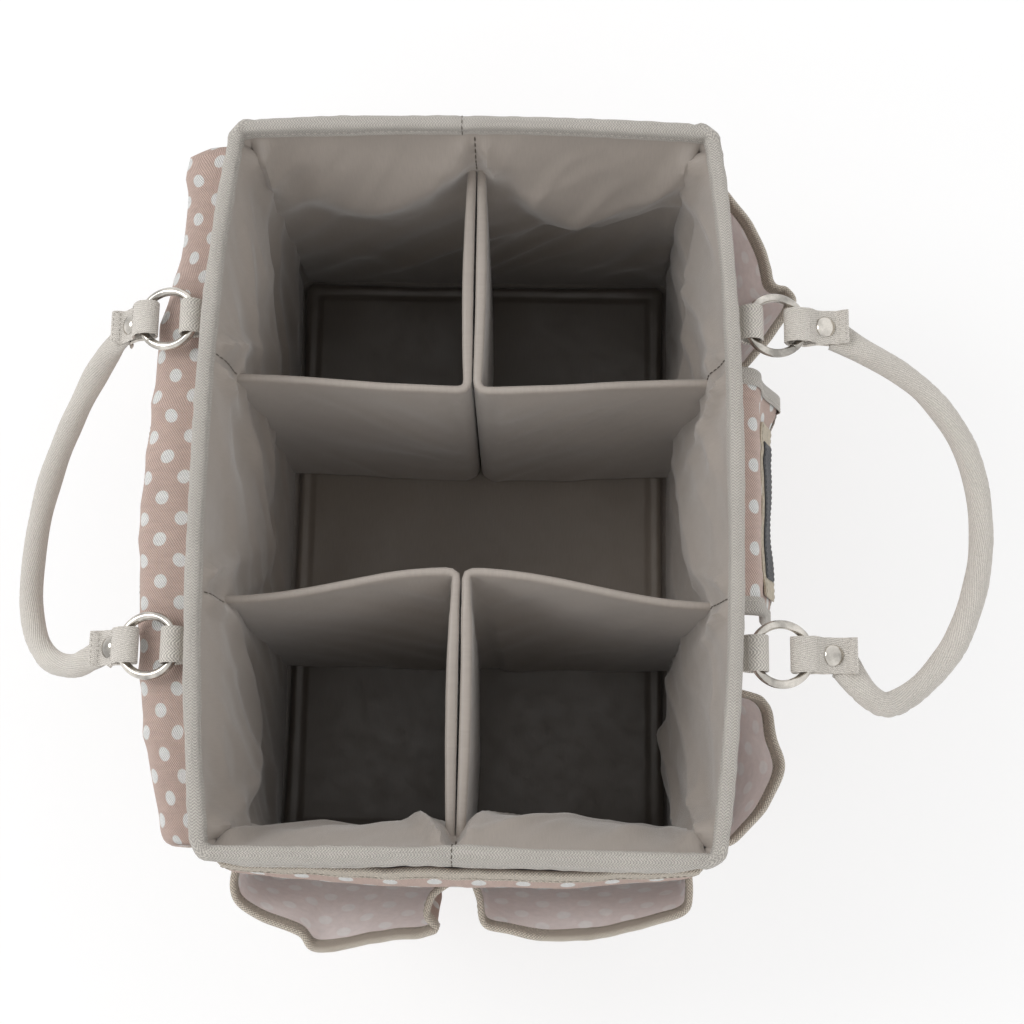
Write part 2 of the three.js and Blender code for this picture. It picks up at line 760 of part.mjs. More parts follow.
// Left side: a long pocket, and over it a cover with boxed ends that hangs from under the rim
addPocket('left', {
  wall: 'left',
  mouthZ: rimTopZ - longMouthDrop,
  depth: leftDepth,
  plan: [
    [-0.959, 0], [-0.964, 0.35], [-0.918, 0.64], [-0.67, 0.82], [-0.309, 0.96],
    [0, 1], [0.309, 0.96], [0.67, 0.82], [0.918, 0.64], [0.964, 0.35],
    [0.959, 0],
  ],
  levels: [[0, 0.08], [0.022, 0.4], [0.326, 1.05], [0.728, 1.2], [1, 1]],
  bound: false,
});
const cover = pocket({
  wall: 'left',
  footZ: rimTopZ - coverHemDrop,
  mouthZ: rimTopZ - coverSeamDrop,
  depth: coverDepth,
  plan: [
    [-1.005, 0], [-1.015, 0.32], [-1, 0.62], [-0.907, 0.7], [-0.711, 0.82],
    [-0.577, 0.9], [-0.34, 0.97], [-0.103, 1], [0.103, 1], [0.309, 0.95],
    [0.464, 0.9], [0.593, 0.77], [0.722, 0.7], [0.876, 0.67], [0.979, 0.65],
    [1, 0.32], [0.99, 0],
  ],
  levels: [
    [0, 1.3], [0.393, 1.08], [0.689, 1], [0.852, 0.93],
    [0.934, 0.78], [0.98, 0.5], [1, 0.1],
  ],
});
addPiece('left_cover', cover.body, 'dottedTwill');
addPiece('left_cover_tape', edgeTape(cover, false), 'twillTape');

// Handle fittings. A ring sits in two webbing loops, one on the tab and one on the handle's
// strap. A loop is wider than the wire, because the ring curves away within the loop's width.
const ringMean = (ringOuter - ringWire) / 2;
const ringFar = ringOuter / 2;
const ringNear = Math.sqrt((ringFar - ringWire) ** 2 - (strapWidth / 2) ** 2);
const ringToLoop = (ringFar + ringNear) / 2;
const loopBore = (ringFar - ringNear) / 2 + loopPlay;
const loopOuter = loopBore + strapThickness;
const loopGap = 2 * ringToLoop;
const tabZ = rimTopZ - tabDrop;
const tabY = tabSpacing / 2;
const tabX = longWall(tabY, tabZ, shellOut + tabReach);

const circle = (radius) => {
  const path = new THREE.Path();
  path.absarc(0, 0, radius, 0, 2 * Math.PI);
  return path;
};

// A flat outline in X and Z, extruded along Y
function alongY(shape, width) {
  const geometry = new THREE.ExtrudeGeometry(shape, { depth: width, bevelEnabled: false, curveSegments: 6 });
  geometry.translate(0, 0, -width / 2);
  geometry.rotateX(Math.PI / 2);
  return geometry;
}

function tabGeometry(sign) {
  const wall = -tabReach + tabSeat;
  const neck = tabNeck / 2;
  const meet = -Math.sqrt(loopOuter ** 2 - neck ** 2);
  const shape = new THREE.Shape();
  shape.moveTo(sign * wall, -tabPlateDown);
  shape.lineTo(sign * (wall + tabPlate), -tabPlateDown);
  shape.lineTo(sign * (wall + tabPlate), -neck);
  shape.lineTo(sign * meet, -neck);
  const from = Math.atan2(-neck, meet);
  const to = Math.atan2(neck, meet);
  const turn = to < from ? to + 2 * Math.PI : to;
  for (let i = 1; i < 14; i++) {
    const angle = from + ((turn - from) * i) / 14;
    shape.lineTo(sign * loopOuter * Math.cos(angle), loopOuter * Math.sin(angle));
  }
  shape.lineTo(sign * meet, neck);
  shape.lineTo(sign * (wall + tabPlate), neck);
  shape.lineTo(sign * (wall + tabPlate), tabPlateUp);
  shape.lineTo(sign * wall, tabPlateUp);
  shape.holes.push(circle(loopBore));
  return alongY(shape, strapWidth);
}

// The folded strap end of a handle, seen from the side: a loop, two layers that close up at the
// rivet, and the layers opening again round the stuffed tube
function strapOutline(sign) {
  const tube = handleDiameter / 2;
  const shape = new THREE.Shape();
  shape.moveTo(0, loopOuter);
  for (let i = 1; i < 8; i++) {
    const angle = Math.PI / 2 + (Math.PI * i) / 8;
    shape.lineTo(sign * loopOuter * Math.cos(angle), loopOuter * Math.sin(angle));
  }
  shape.lineTo(0, -loopOuter);
  shape.lineTo(sign * strapTaperAt, -loopOuter + strapTaperIn);
  shape.lineTo(sign * (rivetAt - rivetSeat / 2), -strapWaist);
  shape.lineTo(sign * (rivetAt + rivetSeat / 2), -strapWaist);
  shape.lineTo(sign * (strapLength - 3), -tube);
  shape.lineTo(sign * strapLength, -tube + 1);
  shape.lineTo(sign * strapLength, tube + 0.6);
  shape.lineTo(sign * (strapLength - 3), tube + 0.6);
  shape.lineTo(sign * (rivetAt + rivetSeat / 2), strapWaist);
  shape.lineTo(sign * (rivetAt - rivetSeat / 2), strapWaist);
  shape.lineTo(sign * strapTaperAt, loopOuter - strapTaperIn);
  return shape;
}

// Middle line of a stuffed handle in its own plane, from the end of one strap to the other, as
// [share of the reach, share of half the tab spacing]
const handleLines = {
  left: [
    [0, 0.985], [0.162, 0.902], [0.388, 0.739], [0.624, 0.5], [0.817, 0.239],
    [0.946, -0.043], [1, -0.337], [0.989, -0.63], [0.871, -0.87], [0.656, -1.022],
    [0.366, -1.076], [0.162, -1.043], [0, -1],
  ],
  right: [
    [0, 0.955], [0.169, 0.875], [0.455, 0.743], [0.682, 0.583], [0.878, 0.34],
    [0.971, 0.095], [0.999, -0.151], [0.982, -0.396], [0.912, -0.64], [0.793, -0.882],
    [0.666, -1.036], [0.519, -1.166], [0.376, -1.25], [0.26, -1.275], [0.15, -1.22],
    [0.06, -1.13], [0, -1.055],
  ],
};
const handleSteps = 22;
const handleSides = 10;

function handleTube(sign, line, radius, trim) {
  const start = strapLength - tubeTuck;
  const reach = (sign < 0 ? leftReach : rightReach) - start;
  const whole = new THREE.CatmullRomCurve3(line.map(([out, along]) => (
    new THREE.Vector3(sign * (start + reach * out), along * tabY, 0)
  )));
  const share = trim / whole.getLength();
  const points = [];
  for (let i = 0; i <= handleSteps; i++) {
    points.push(whole.getPointAt(share + ((1 - 2 * share) * i) / handleSteps));
  }
  const path = new THREE.CatmullRomCurve3(points);
  const round = new THREE.Shape();
  for (let i = 0; i < handleSides; i++) {
    const angle = (2 * Math.PI * i) / handleSides;
    round[i ? 'lineTo' : 'moveTo'](radius * Math.cos(angle), radius * Math.sin(angle));
  }
  return new THREE.ExtrudeGeometry(round, { steps: handleSteps, extrudePath: path });
}

const coreRadius = handleDiameter / 2 - handleCloth - coreClearance;

function handleSleeve(sign, line) {
  let body = toSolid(handleTube(sign, line, handleDiameter / 2, 0));
  for (const y of [tabY, -tabY]) {
    const strap = alongY(strapOutline(sign), strapWidth);
    strap.translate(0, y, 0);
    body = body.add(toSolid(strap));
  }
  body = body.subtract(toSolid(handleTube(sign, line, handleDiameter / 2 - handleCloth, 1.5)));
  for (const y of [tabY, -tabY]) {
    const loop = alongY(new THREE.Shape(circle(loopBore).getPoints(6)), 2 * strapWidth);
    loop.translate(0, y, 0);
    const slotLength = strapLength - strapSlotShort;
    const slot = new THREE.BoxGeometry(slotLength, 2 * strapWidth, strapSlot);
    slot.translate((sign * slotLength) / 2, y, 0);
    const bore = rivetShank / 2 + rivetPlay;
    const hole = new THREE.CylinderGeometry(bore, bore, handleDiameter, 12);
    hole.rotateX(Math.PI / 2);
    hole.translate(sign * rivetAt, y, 0);
    body = body.subtract(toSolid(loop)).subtract(toSolid(slot)).subtract(toSolid(hole));
  }
  return toGeometry(body);
}

// Domed rivet through both layers of a strap
function rivetGeometry() {
  const seat = strapWaist + clearance;
  const profile = [[0, seat + rivetDome]];
  for (let i = 1; i <= 3; i++) {
    const angle = (Math.PI / 2) * (i / 3);
    profile.push([(rivetHead / 2) * Math.sin(angle), seat + rivetDome * Math.cos(angle)]);
  }
  profile.push([rivetShank / 2, seat], [rivetShank / 2, -seat], [rivetWasher / 2, -seat]);
  profile.push([rivetWasher / 2 - 1, -seat - 1], [0, -seat - 1]);
  const geometry = new THREE.LatheGeometry(profile.reverse().map(([r, z]) => new THREE.Vector2(r, z)), 12);
  geometry.rotateX(Math.PI / 2);
  return geometry;
}

function addHandle(side, sign, ringTilt, handleTilt) {
  const ringTurn = sign * radians(ringTilt);
  for (const [end, facing] of [['back', 1], ['front', -1]]) {
    const tab = addPiece(side + '_' + end + '_tab', tabGeometry(sign), 'greyWebbing');
    tab.position.set(sign * tabX, facing * tabY, tabZ);
    const torus = new THREE.TorusGeometry(ringMean, ringWire / 2, 8, 28);
    torus.translate(sign * ringToLoop, 0, 0);
    const ring = addPiece(side + '_' + end + '_ring', torus, 'nickel');
    ring.position.copy(tab.position);
    ring.rotation.y = ringTurn;
  }
  const handle = new THREE.Group();
  handle.position.set(
    sign * (tabX + loopGap * Math.cos(radians(ringTilt))),
    0,
    tabZ - loopGap * Math.sin(radians(ringTilt)),
  );
  handle.rotation.y = sign * radians(handleTilt);
  tote.add(handle);
  addPiece(side + '_handle_sleeve', handleSleeve(sign, handleLines[side]), 'greyWebbing', handle);
  addPiece(side + '_handle_core', handleTube(sign, handleLines[side], coreRadius, 2), 'handleCore', handle);
  for (const [end, facing] of [['back', 1], ['front', -1]]) {
    const rivet = addPiece(side + '_' + end + '_rivet', rivetGeometry(), 'nickel', handle);
    rivet.position.set(sign * rivetAt, facing * tabY, 0);
  }
}

addHandle('left', -1, leftRingTilt, leftHandleTilt);
addHandle('right', 1, rightRingTilt, rightHandleTilt);

export default tote;
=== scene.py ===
# Craft organizer tote: the looks of a fabric box with boards in its walls, four sewn-in dividers,
# pockets on three sides, a flap, and two stuffed handles on metal rings. Metres, +X right, +Y back.
import math

import bpy
import numpy as np
from mathutils import Matrix, Vector


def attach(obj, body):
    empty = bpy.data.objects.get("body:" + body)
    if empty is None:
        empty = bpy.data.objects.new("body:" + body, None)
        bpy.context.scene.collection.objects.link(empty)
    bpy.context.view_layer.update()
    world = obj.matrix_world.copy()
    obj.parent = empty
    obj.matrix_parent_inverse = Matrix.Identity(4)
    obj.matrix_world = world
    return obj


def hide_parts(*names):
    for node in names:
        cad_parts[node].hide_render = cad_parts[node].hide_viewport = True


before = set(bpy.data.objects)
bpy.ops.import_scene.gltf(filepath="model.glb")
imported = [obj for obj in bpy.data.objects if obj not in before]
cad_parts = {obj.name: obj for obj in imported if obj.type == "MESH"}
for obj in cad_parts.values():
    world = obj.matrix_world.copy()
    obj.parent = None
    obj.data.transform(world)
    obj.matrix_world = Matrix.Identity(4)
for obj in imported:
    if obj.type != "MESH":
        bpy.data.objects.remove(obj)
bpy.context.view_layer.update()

# Studio: the tote stands on a plain white table. Soft white screens stand round it, darker straight
# above where the camera hangs, and one broad lamp lights it from the left.
scene = bpy.context.scene
scene.view_settings.view_transform = 'Standard'
surround = ((0.0, 0.88), (0.3, 1.22), (0.62, 1.3), (0.8, 0.98), (0.88, 0.68), (0.945, 0.14), (1.0, 0.05))
lamp_watts = 9.0
lamp_size = 0.9
lamp_place, lamp_aim = Vector((-1.35, 0.35, 1.45)), Vector((0, 0, 0.15))
table_colour, pure_white = (0.93, 0.93, 0.93), (1, 1, 1)
table_half = 4


def shader_step(tree, kind, *inputs, **settings):
    node = tree.nodes.new('ShaderNode' + kind)
    for name, value in settings.items():
        setattr(node, name, value)
    for socket, value in zip(node.inputs, inputs):
        if isinstance(value, bpy.types.NodeSocket):
            tree.links.new(value, socket)
        elif value is not None:
            socket.default_value = value
    single = settings.get('operation') in ('LENGTH', 'DISTANCE', 'DOT_PRODUCT')
    return node.outputs[1 if single else 0]


def maths(tree, operation, *inputs):
    return shader_step(tree, 'Math', *inputs, operation=operation)


def vectors(tree, operation, *inputs):
    return shader_step(tree, 'VectorMath', *inputs, operation=operation)


def times(tree, a, b):
    return maths(tree, 'MULTIPLY', a, b)


def spread(tree, value, low, high, to_low=0.0, to_high=1.0):
    return shader_step(tree, 'MapRange', value, low, high, to_low, to_high)


# 1 where one of these kinds of ray finds the surface
def seen_by(tree, *kinds):
    rays = shader_step(tree, 'LightPath').node.outputs
    seen = rays[kinds[0]]
    for kind in kinds[1:]:
        seen = maths(tree, 'MAXIMUM', seen, rays[kind])
    return seen


def object_place(tree):
    return shader_step(tree, 'TexCoord').node.outputs['Object']


def axes_of(tree, place):
    return shader_step(tree, 'SeparateXYZ', place).node.outputs


def new_object(name, data):
    made = bpy.data.objects.new(name, data)
    scene.collection.objects.link(made)
    return made


def new_finish(name, colour, roughness, sockets=None):
    finish = bpy.data.materials.new(name)
    finish.use_nodes = True
    shader = finish.node_tree.nodes['Principled BSDF']
    for socket, value in {'Base Color': (*colour, 1), 'Roughness': roughness, **(sockets or {})}.items():
        shader.inputs[socket].default_value = value
    return finish, finish.node_tree, shader


world = bpy.data.worlds.new('surround')
scene.world = world
world.use_nodes = True
tree = world.node_tree
way_up = axes_of(tree, shader_step(tree, 'TexCoord').node.outputs['Generated'])['Z']
screens = shader_step(tree, 'ValToRGB', way_up)
stops = screens.node.color_ramp.elements
for height, strength in surround[1:-1]:
    stops.new(height)
for stop, (height, strength) in zip(stops, surround):
    stop.position = height
    stop.color = (strength, strength, strength, 1)
seen = seen_by(tree, 'Is Camera Ray', 'Is Glossy Ray', 'Is Transmission Ray')
background = tree.nodes['Background']
background.inputs['Color'].default_value = (*pure_white, 1)
tree.links.new(shader_step(tree, 'MixRGB', seen, screens, (*pure_white, 1)), background.inputs['Strength'])

lamp = new_object('lamp', bpy.data.lights.new('lamp', 'AREA'))
lamp.data.energy, lamp.data.shape, lamp.data.size = lamp_watts, 'DISK', lamp_size
lamp.location = lamp_place
lamp.rotation_euler = (lamp_aim - lamp_place).to_track_quat('-Z', 'Y').to_euler()

# The table glows white where it is looked at, more so further out, and keeps the tote's shadow
table = new_object('table', bpy.data.meshes.new('table'))
table_corners = ((-1, -1), (1, -1), (1, 1), (-1, 1))
table.data.from_pydata([(x * table_half, y * table_half, 0) for x, y in table_corners], [], [(0, 1, 2, 3)])
table.location.z = -0.0004
table_finish, tree, paint = new_finish('table_white', table_colour, 0.9, {'Specular IOR Level': 0.1})
seen = seen_by(tree, 'Is Camera Ray', 'Is Glossy Ray')
painted = shader_step(tree, 'MixRGB', seen, (*table_colour, 1), (*pure_white, 1))
haze = spread(tree, vectors(tree, 'LENGTH', object_place(tree)), 0.7, 2.2, 0.6, 1.0)
glow = tree.nodes.new('ShaderNodeEmission')
mixed = tree.nodes.new('ShaderNodeMixShader')
for source, socket in (
        (painted, paint.inputs['Base Color']), (times(tree, seen, haze), mixed.inputs['Fac']),
        (paint.outputs['BSDF'], mixed.inputs[1]), (glow.outputs['Emission'], mixed.inputs[2]),
        (mixed.outputs['Shader'], tree.nodes['Material Output'].inputs['Surface'])):
    tree.links.new(source, socket)
table.data.materials.append(table_finish)

# The camera hangs over the front half and looks almost straight down
camera = new_object('camera', bpy.data.cameras.new('camera'))
camera.data.lens = 56.827
camera.data.sensor_width = 36
camera.location = (0.0353, -0.1954, 1.0899)
turn = (Matrix.Rotation(-0.0133178, 3, 'Z') @ Matrix.Rotation(-0.0121884, 3, 'Y')
        @ Matrix.Rotation(-0.2047082, 3, 'X'))
camera.rotation_euler = turn.transposed().to_euler()
scene.camera = camera

# Boards: grey pressed board stiffens the base, the four walls and the dividers. Each board is
# slipped between two layers of cloth, so only its edges could ever be seen.
board_grey = (0.27, 0.255, 0.235)


def speckle(tree, place, scale, detail=3.0, stretch=(1, 1, 1)):
    stretched = vectors(tree, 'MULTIPLY', place, stretch)
    return shader_step(tree, 'TexNoise', stretched, None, scale, detail)


# Each marking darkens and lightens the colour: (marking, from, to, tone at from, tone at to)
def tint(tree, shader, colour, *markings):
    tone = None
    for marking in markings:
        level = spread(tree, *marking)
        tone = level if tone is None else times(tree, tone, level)
    shade(tree, shader, (*colour, 1) if isinstance(colour, tuple) else colour, tone)


def shade(tree, shader, colour, tone):
    grey = shader_step(tree, 'CombineColor', tone, tone, tone)
    shaded = shader_step(tree, 'MixRGB', 1.0, colour, grey, blend_type='MULTIPLY')
    tree.links.new(shaded, shader.inputs['Base Color'])


def roughen(tree, shader, *marking):
    tree.links.new(spread(tree, *marking), shader.inputs['Roughness'])


def add_bump(tree, shader, height, depth):
    node = tree.nodes.new('ShaderNodeBump')
    node.inputs['Strength'].default_value = 1.0
    node.inputs['Distance'].default_value = depth
    tree.links.new(height, node.inputs['Height'])
    tree.links.new(node.outputs['Normal'], shader.inputs['Normal'])


pressed_board, tree, shader = new_finish('pressed_board', board_grey, 0.85)
place = object_place(tree)
fibres = speckle(tree, place, 900.0, 5.0, (1, 1, 0.15))
patches = speckle(tree, place, 60.0)
tint(tree, shader, board_grey, (fibres, 0.3, 0.7, 0.82, 1.12), (patches, 0.3, 0.7, 0.92, 1.06))
roughen(tree, shader, fibres, 0.2, 0.8, 0.75, 0.95)
add_bump(tree, shader, fibres, 0.0002)

for name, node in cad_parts.items():
    if 'board' in name:
        node.data.materials.clear()
        node.data.materials.append(pressed_board)

# Outer shell: one band of dusty pink twill with off-white dots runs round all four walls and is
# seamed upright at each corner. It is stretched over the boards and shows most on the back.
inside_width = 0.256
inside_length = 0.388
corner_radius = 0.005
rim_top = 0.2458
wall_top = 0.244
flare = 0.0045
shell_out = 0.0042
twill_thickness = 0.0012
shell_foot = 0.0019
right_wall, back_wall, left_wall, front_wall, at_corner = range(5)


def rise(z):
    return z / rim_top


def straight(inside, z):
    return inside / 2 - corner_radius + flare * rise(z)


# How far the inside face of a long wall and of a short wall stands from the middle of the tote
def long_wall(y, z, out=0.0):
    share = np.minimum(1, np.abs(y) / straight(inside_length, z))
    return inside_width / 2 + flare * rise(z) + 0.011 * rise(z) * (1 - share ** 2.5) + out


def short_wall(x, z, out, side):
    share = np.minimum(1, np.abs(x) / straight(inside_width, z))
    bow = 0.004 * (1 - share ** 2) if side > 0 else -0.002 * (1 - share) ** 2
    return inside_length / 2 + rise(z) * (flare + bow) + out


# The walls in plan at one height, from the front right corner and on anticlockwise: points on the
# inside face, the way out at each, the wall each is on, and its place along that wall
def wall_plan(z, long_steps=110, short_steps=74, corner_steps=6):
    half = np.array([straight(inside_width, z), straight(inside_length, z)])
    xs, ys = (np.linspace(-h, h, steps + 1) for h, steps in zip(half, (short_steps, long_steps)))
    x_back, y_back = xs[::-1], ys[::-1]
    sides = [(ys, (long_wall(ys, z), ys), (1, 1)),
             (x_back, (x_back, short_wall(x_back, z, 0, 1)), (-1, 1)),
             (y_back, (-long_wall(y_back, z), y_back), (-1, -1)),
             (xs, (xs, -short_wall(xs, z, 0, -1)), (1, -1))]
    points, ways, walls, along = [], [], [], []
    for wall, (spots, place, corner) in enumerate(sides):
        turn = np.radians(90 * wall + 90 * np.arange(corner_steps) / corner_steps)
        way = np.column_stack([np.cos(turn), np.sin(turn)])
        points += [np.column_stack(place), corner * half + corner_radius * way[1:]]
        ways += [np.tile(np.round(way[0]), (len(spots), 1)), way[1:]]
        walls += [np.full(len(spots), wall), np.full(corner_steps - 1, at_corner)]
        along += [spots, np.zeros(corner_steps - 1)]
    return [np.concatenate(part) for part in (points, ways, walls, along)]


def closed_up(rows):
    return np.concatenate([rows, rows[:1]])


def at_height(plan, z):
    return np.column_stack([plan, z + np.zeros(len(plan))])


# Rows of points at one height after another, turned into a grid of (place round, height)
def grid_of(rows):
    return np.array(rows).transpose(1, 0, 2)


def run_length(points, closed=False):
    if closed:
        points = closed_up(points)
    steps = np.linalg.norm(np.diff(points, axis=0), axis=1)
    return np.concatenate([[0], np.cumsum(steps)])


# Soft random waves, the same on every run: a few crossed ripples of about the given wavelength
def ripples(u, v, wave, seed, count=9):
    rng = np.random.default_rng(seed)
    total = 0
    for _ in range(count):
        angle, k = rng.uniform(0, 2 * np.pi), 2 * np.pi / (wave * rng.uniform(0.7, 1.5))
        total = total + np.sin(k * (np.cos(angle) * u + np.sin(angle) * v) + rng.uniform(0, 2 * np.pi))
    return total / math.sqrt(count)


# The same waves turned into creases: sharp low ridges with smooth cloth between them
def creases(u, v, wave, seed):
    return 1 - np.minimum(1, np.abs(ripples(u, v, wave, seed)) * 1.6)


# A smooth hump: 1 where x is 0, and almost gone two widths away
def hump(x, width):
    return np.exp(-(x / width) ** 2)


# Ways made one unit long
def unit(ways):
    return ways / np.maximum(np.linalg.norm(ways, axis=-1, keepdims=True), 1e-12)


def surface_normals(grid, closed=False):
    if closed:
        padded = np.concatenate([grid[-1:], grid, grid[:1]])
        du = (padded[2:] - padded[:-2]) / 2
    else:
        du = np.gradient(grid, axis=0)
    return unit(np.cross(du, np.gradient(grid, axis=1)))


def mesh_piece(name, points, faces, uvs=None, finishes=(), slots=None, sharp=50):
    mesh = bpy.data.meshes.new(name)
    mesh.from_pydata(np.asarray(points).tolist(), [], [tuple(int(i) for i in f) for f in faces])
    for finish in finishes:
        mesh.materials.append(finish)
    if slots is not None:
        mesh.polygons.foreach_set('material_index', np.asarray(slots, np.int32))
    if uvs is not None:
        layer = mesh.uv_layers.new(name='cloth')
        layer.data.foreach_set('uv', np.asarray(uvs, np.float32).ravel())
    mesh.polygons.foreach_set('use_smooth', np.ones(len(mesh.polygons), bool))
    mesh.update()
    mesh.set_sharp_from_angle(angle=math.radians(sharp))
    return new_object(name, mesh)


def cloth_uv(along, down):
    return np.stack(np.meshgrid(along, down, indexing='ij'), axis=2)


# Cloth of a given thickness behind a grid of face points. uv gives each point's place on the
# flat cloth in metres. A closed grid joins its last row to its first.
def cloth_piece(name, face, thickness, uv, finishes, closed=False, back=None):
    rows, cols = face.shape[:2]
    if back is None:
        back = face - surface_normals(face, closed) * thickness
    count = rows * cols
    at = np.arange(count).reshape(rows, cols)
    run = np.arange(rows if closed else rows - 1)
    a, b = at[run], at[(run + 1) % rows]
    ua = np.arange(uv.shape[0] * cols).reshape(-1, cols)
    ua, ub = ua[run], ua[run + 1]

    def quads(p, q, r, s):
        return np.stack([p.ravel(), q.ravel(), r.ravel(), s.ravel()], axis=1)

    front = quads(a[:, :-1], b[:, :-1], b[:, 1:], a[:, 1:])
    front_uv = quads(ua[:, :-1], ub[:, :-1], ub[:, 1:], ua[:, 1:])
    faces = [front, front[:, ::-1] + count]
    uvs = [front_uv, front_uv[:, ::-1]]
    slots = [np.zeros(len(front)), np.full(len(front), len(finishes) - 1)]
    edges = [(b[:, 0], a[:, 0], ub[:, 0], ua[:, 0]), (a[:, -1], b[:, -1], ua[:, -1], ub[:, -1])]
    if not closed:
        edges.append((at[0, :-1], at[0, 1:], ua[0, :-1], ua[0, 1:]))
        edges.append((at[-1, 1:], at[-1, :-1], ub[-1, 1:], ub[-1, :-1]))
    for p, q, up, uq in edges:
        faces.append(np.stack([p, q, q + count, p + count], axis=1))
        uvs.append(np.stack([up, uq, uq, up], axis=1))
        slots.append(np.zeros(len(p)))
    uv_points = uv.reshape(-1, 2)[np.concatenate(uvs).ravel()]
    points = np.concatenate([face.reshape(-1, 3), back.reshape(-1, 3)])
    return mesh_piece(name, points, np.concatenate(faces), uv_points, finishes, np.concatenate(slots))


# Height of a plain weave over the flat cloth, 0 in the gaps and 1 on top of the threads
def plain_weave(tree, uv, pitch):
    split = axes_of(tree, vectors(tree, 'MULTIPLY', uv, (1 / pitch, 1 / pitch, 1)))
    threads = []
    for side in split[:2]:
        wave = maths(tree, 'SINE', times(tree, side, math.pi))
        threads.append(maths(tree, 'ABSOLUTE', wave))
    raised = vectors(tree, 'ADD', uv, (0, 0, 0.0005))
    over = shader_step(tree, 'TexChecker', raised, (1, 1, 1, 1), (0, 0, 0, 1), 1 / pitch)
    return shader_step(tree, 'MixRGB', over, threads[0], threads[1])


# Height of a twill: slanting ribs, cut across by the threads that pass over them
def twill_weave(tree, uv, pitch, slope=1.0, cross=0.18):
    turns = 2 * math.pi / pitch
    split = axes_of(tree, vectors(tree, 'MULTIPLY', uv, (turns, turns, 1)))
    slant = maths(tree, 'MULTIPLY_ADD', split[0], slope, split[1])
    rib = spread(tree, maths(tree, 'SINE', slant), -1.0, 1.0)
    thread = maths(tree, 'SINE', maths(tree, 'MULTIPLY_ADD', split[0], -1.0, split[1]))
    return maths(tree, 'MULTIPLY_ADD', thread, cross, rib)


# A piece rides on a body of the CAD and stands for the given nodes. The slot is not used.
def fasten(piece, body, slot, *nodes):
    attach(piece, body)
    if nodes:
        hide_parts(*nodes)


def cloth_place(tree):
    return shader_step(tree, 'UVMap', uv_map='cloth')


# White in the printed dots, black between them: staggered rows on a square repeat
def dot_print(tree, uv, repeat=0.0234, radius=0.0039, soft=0.0003):
    cells = vectors(tree, 'MULTIPLY', uv, (1 / repeat, 1 / repeat, 0))
    found = []
    for offset in ((0.0, 0.0, 0.0), (0.5, 0.5, 0.0)):
        inside = vectors(tree, 'FRACTION', vectors(tree, 'ADD', cells, offset))
        found.append(vectors(tree, 'LENGTH', vectors(tree, 'SUBTRACT', inside, (0.5, 0.5, 0.0))))
    nearest = maths(tree, 'MINIMUM', *found)
    return spread(tree, nearest, (radius - soft) / repeat, (radius + soft) / repeat, 1.0, 0.0)


# Cloudy colour, darker and lighter by a share of itself
def clouded(tree, colour, cloud, share):
    return shader_step(tree, 'MixRGB', cloud, (*[c * (1 - share) for c in colour], 1),
                       (*[c * (1 + share) for c in colour], 1))


twill_pink = (0.50, 0.375, 0.325)
dot_white = (0.69, 0.69, 0.675)
dotted_twill, tree, shader = new_finish('dotted_twill', twill_pink, 0.8,
                                        {'Sheen Weight': 0.12, 'Sheen Roughness': 0.4})
uv = cloth_place(tree)
weave = twill_weave(tree, uv, 0.0015, 0.75, 0.35)
slub = speckle(tree, uv, 400.0, 3.0, (1, 0.25, 1))
loose_ends = shader_step(tree, 'TexNoise', uv, None, 900.0, 2.0).node.outputs['Color']
frayed = vectors(tree, 'ADD', uv, vectors(tree, 'MULTIPLY', loose_ends, (0.0005, 0.0005, 0.0)))
ground = clouded(tree, twill_pink, speckle(tree, uv, 22.0, 2.0), 0.07)
printed = shader_step(tree, 'MixRGB', dot_print(tree, frayed), ground, (*dot_white, 1))
tint(tree, shader, printed, (weave, -0.2, 1.2, 0.62, 1.28), (slub, 0.3, 0.7, 0.93, 1.06))
roughen(tree, shader, weave, 0.0, 1.0, 0.92, 0.72)
add_bump(tree, shader, weave, 0.00022)

# The back of the twill is coated: pale and smooth, with the dots showing through. The cloth is
# thin, so it also lets some light through.
coat_grey, ghost_white = (0.86, 0.79, 0.785), (0.93, 0.92, 0.92)
coated_back, tree, shader = new_finish('coated_back', coat_grey, 0.5, {
    'Subsurface Weight': 0.6, 'Subsurface Radius': (1.0, 0.9, 0.86), 'Subsurface Scale': 0.004})
uv = cloth_place(tree)
film = speckle(tree, uv, 260.0, 4.0)
ground = clouded(tree, coat_grey, speckle(tree, uv, 30.0, 2.0), 0.08)
ghost = times(tree, dot_print(tree, uv, soft=0.0006), 0.8)
shown = shader_step(tree, 'MixRGB', ghost, ground, (*ghost_white, 1))
tint(tree, shader, shown, (film, 0.3, 0.7, 0.95, 1.04))
roughen(tree, shader, film, 0.3, 0.7, 0.42, 0.6)
add_bump(tree, shader, plain_weave(tree, uv, 0.00088), 0.00004)
dotted_cloth = [dotted_twill, coated_back]

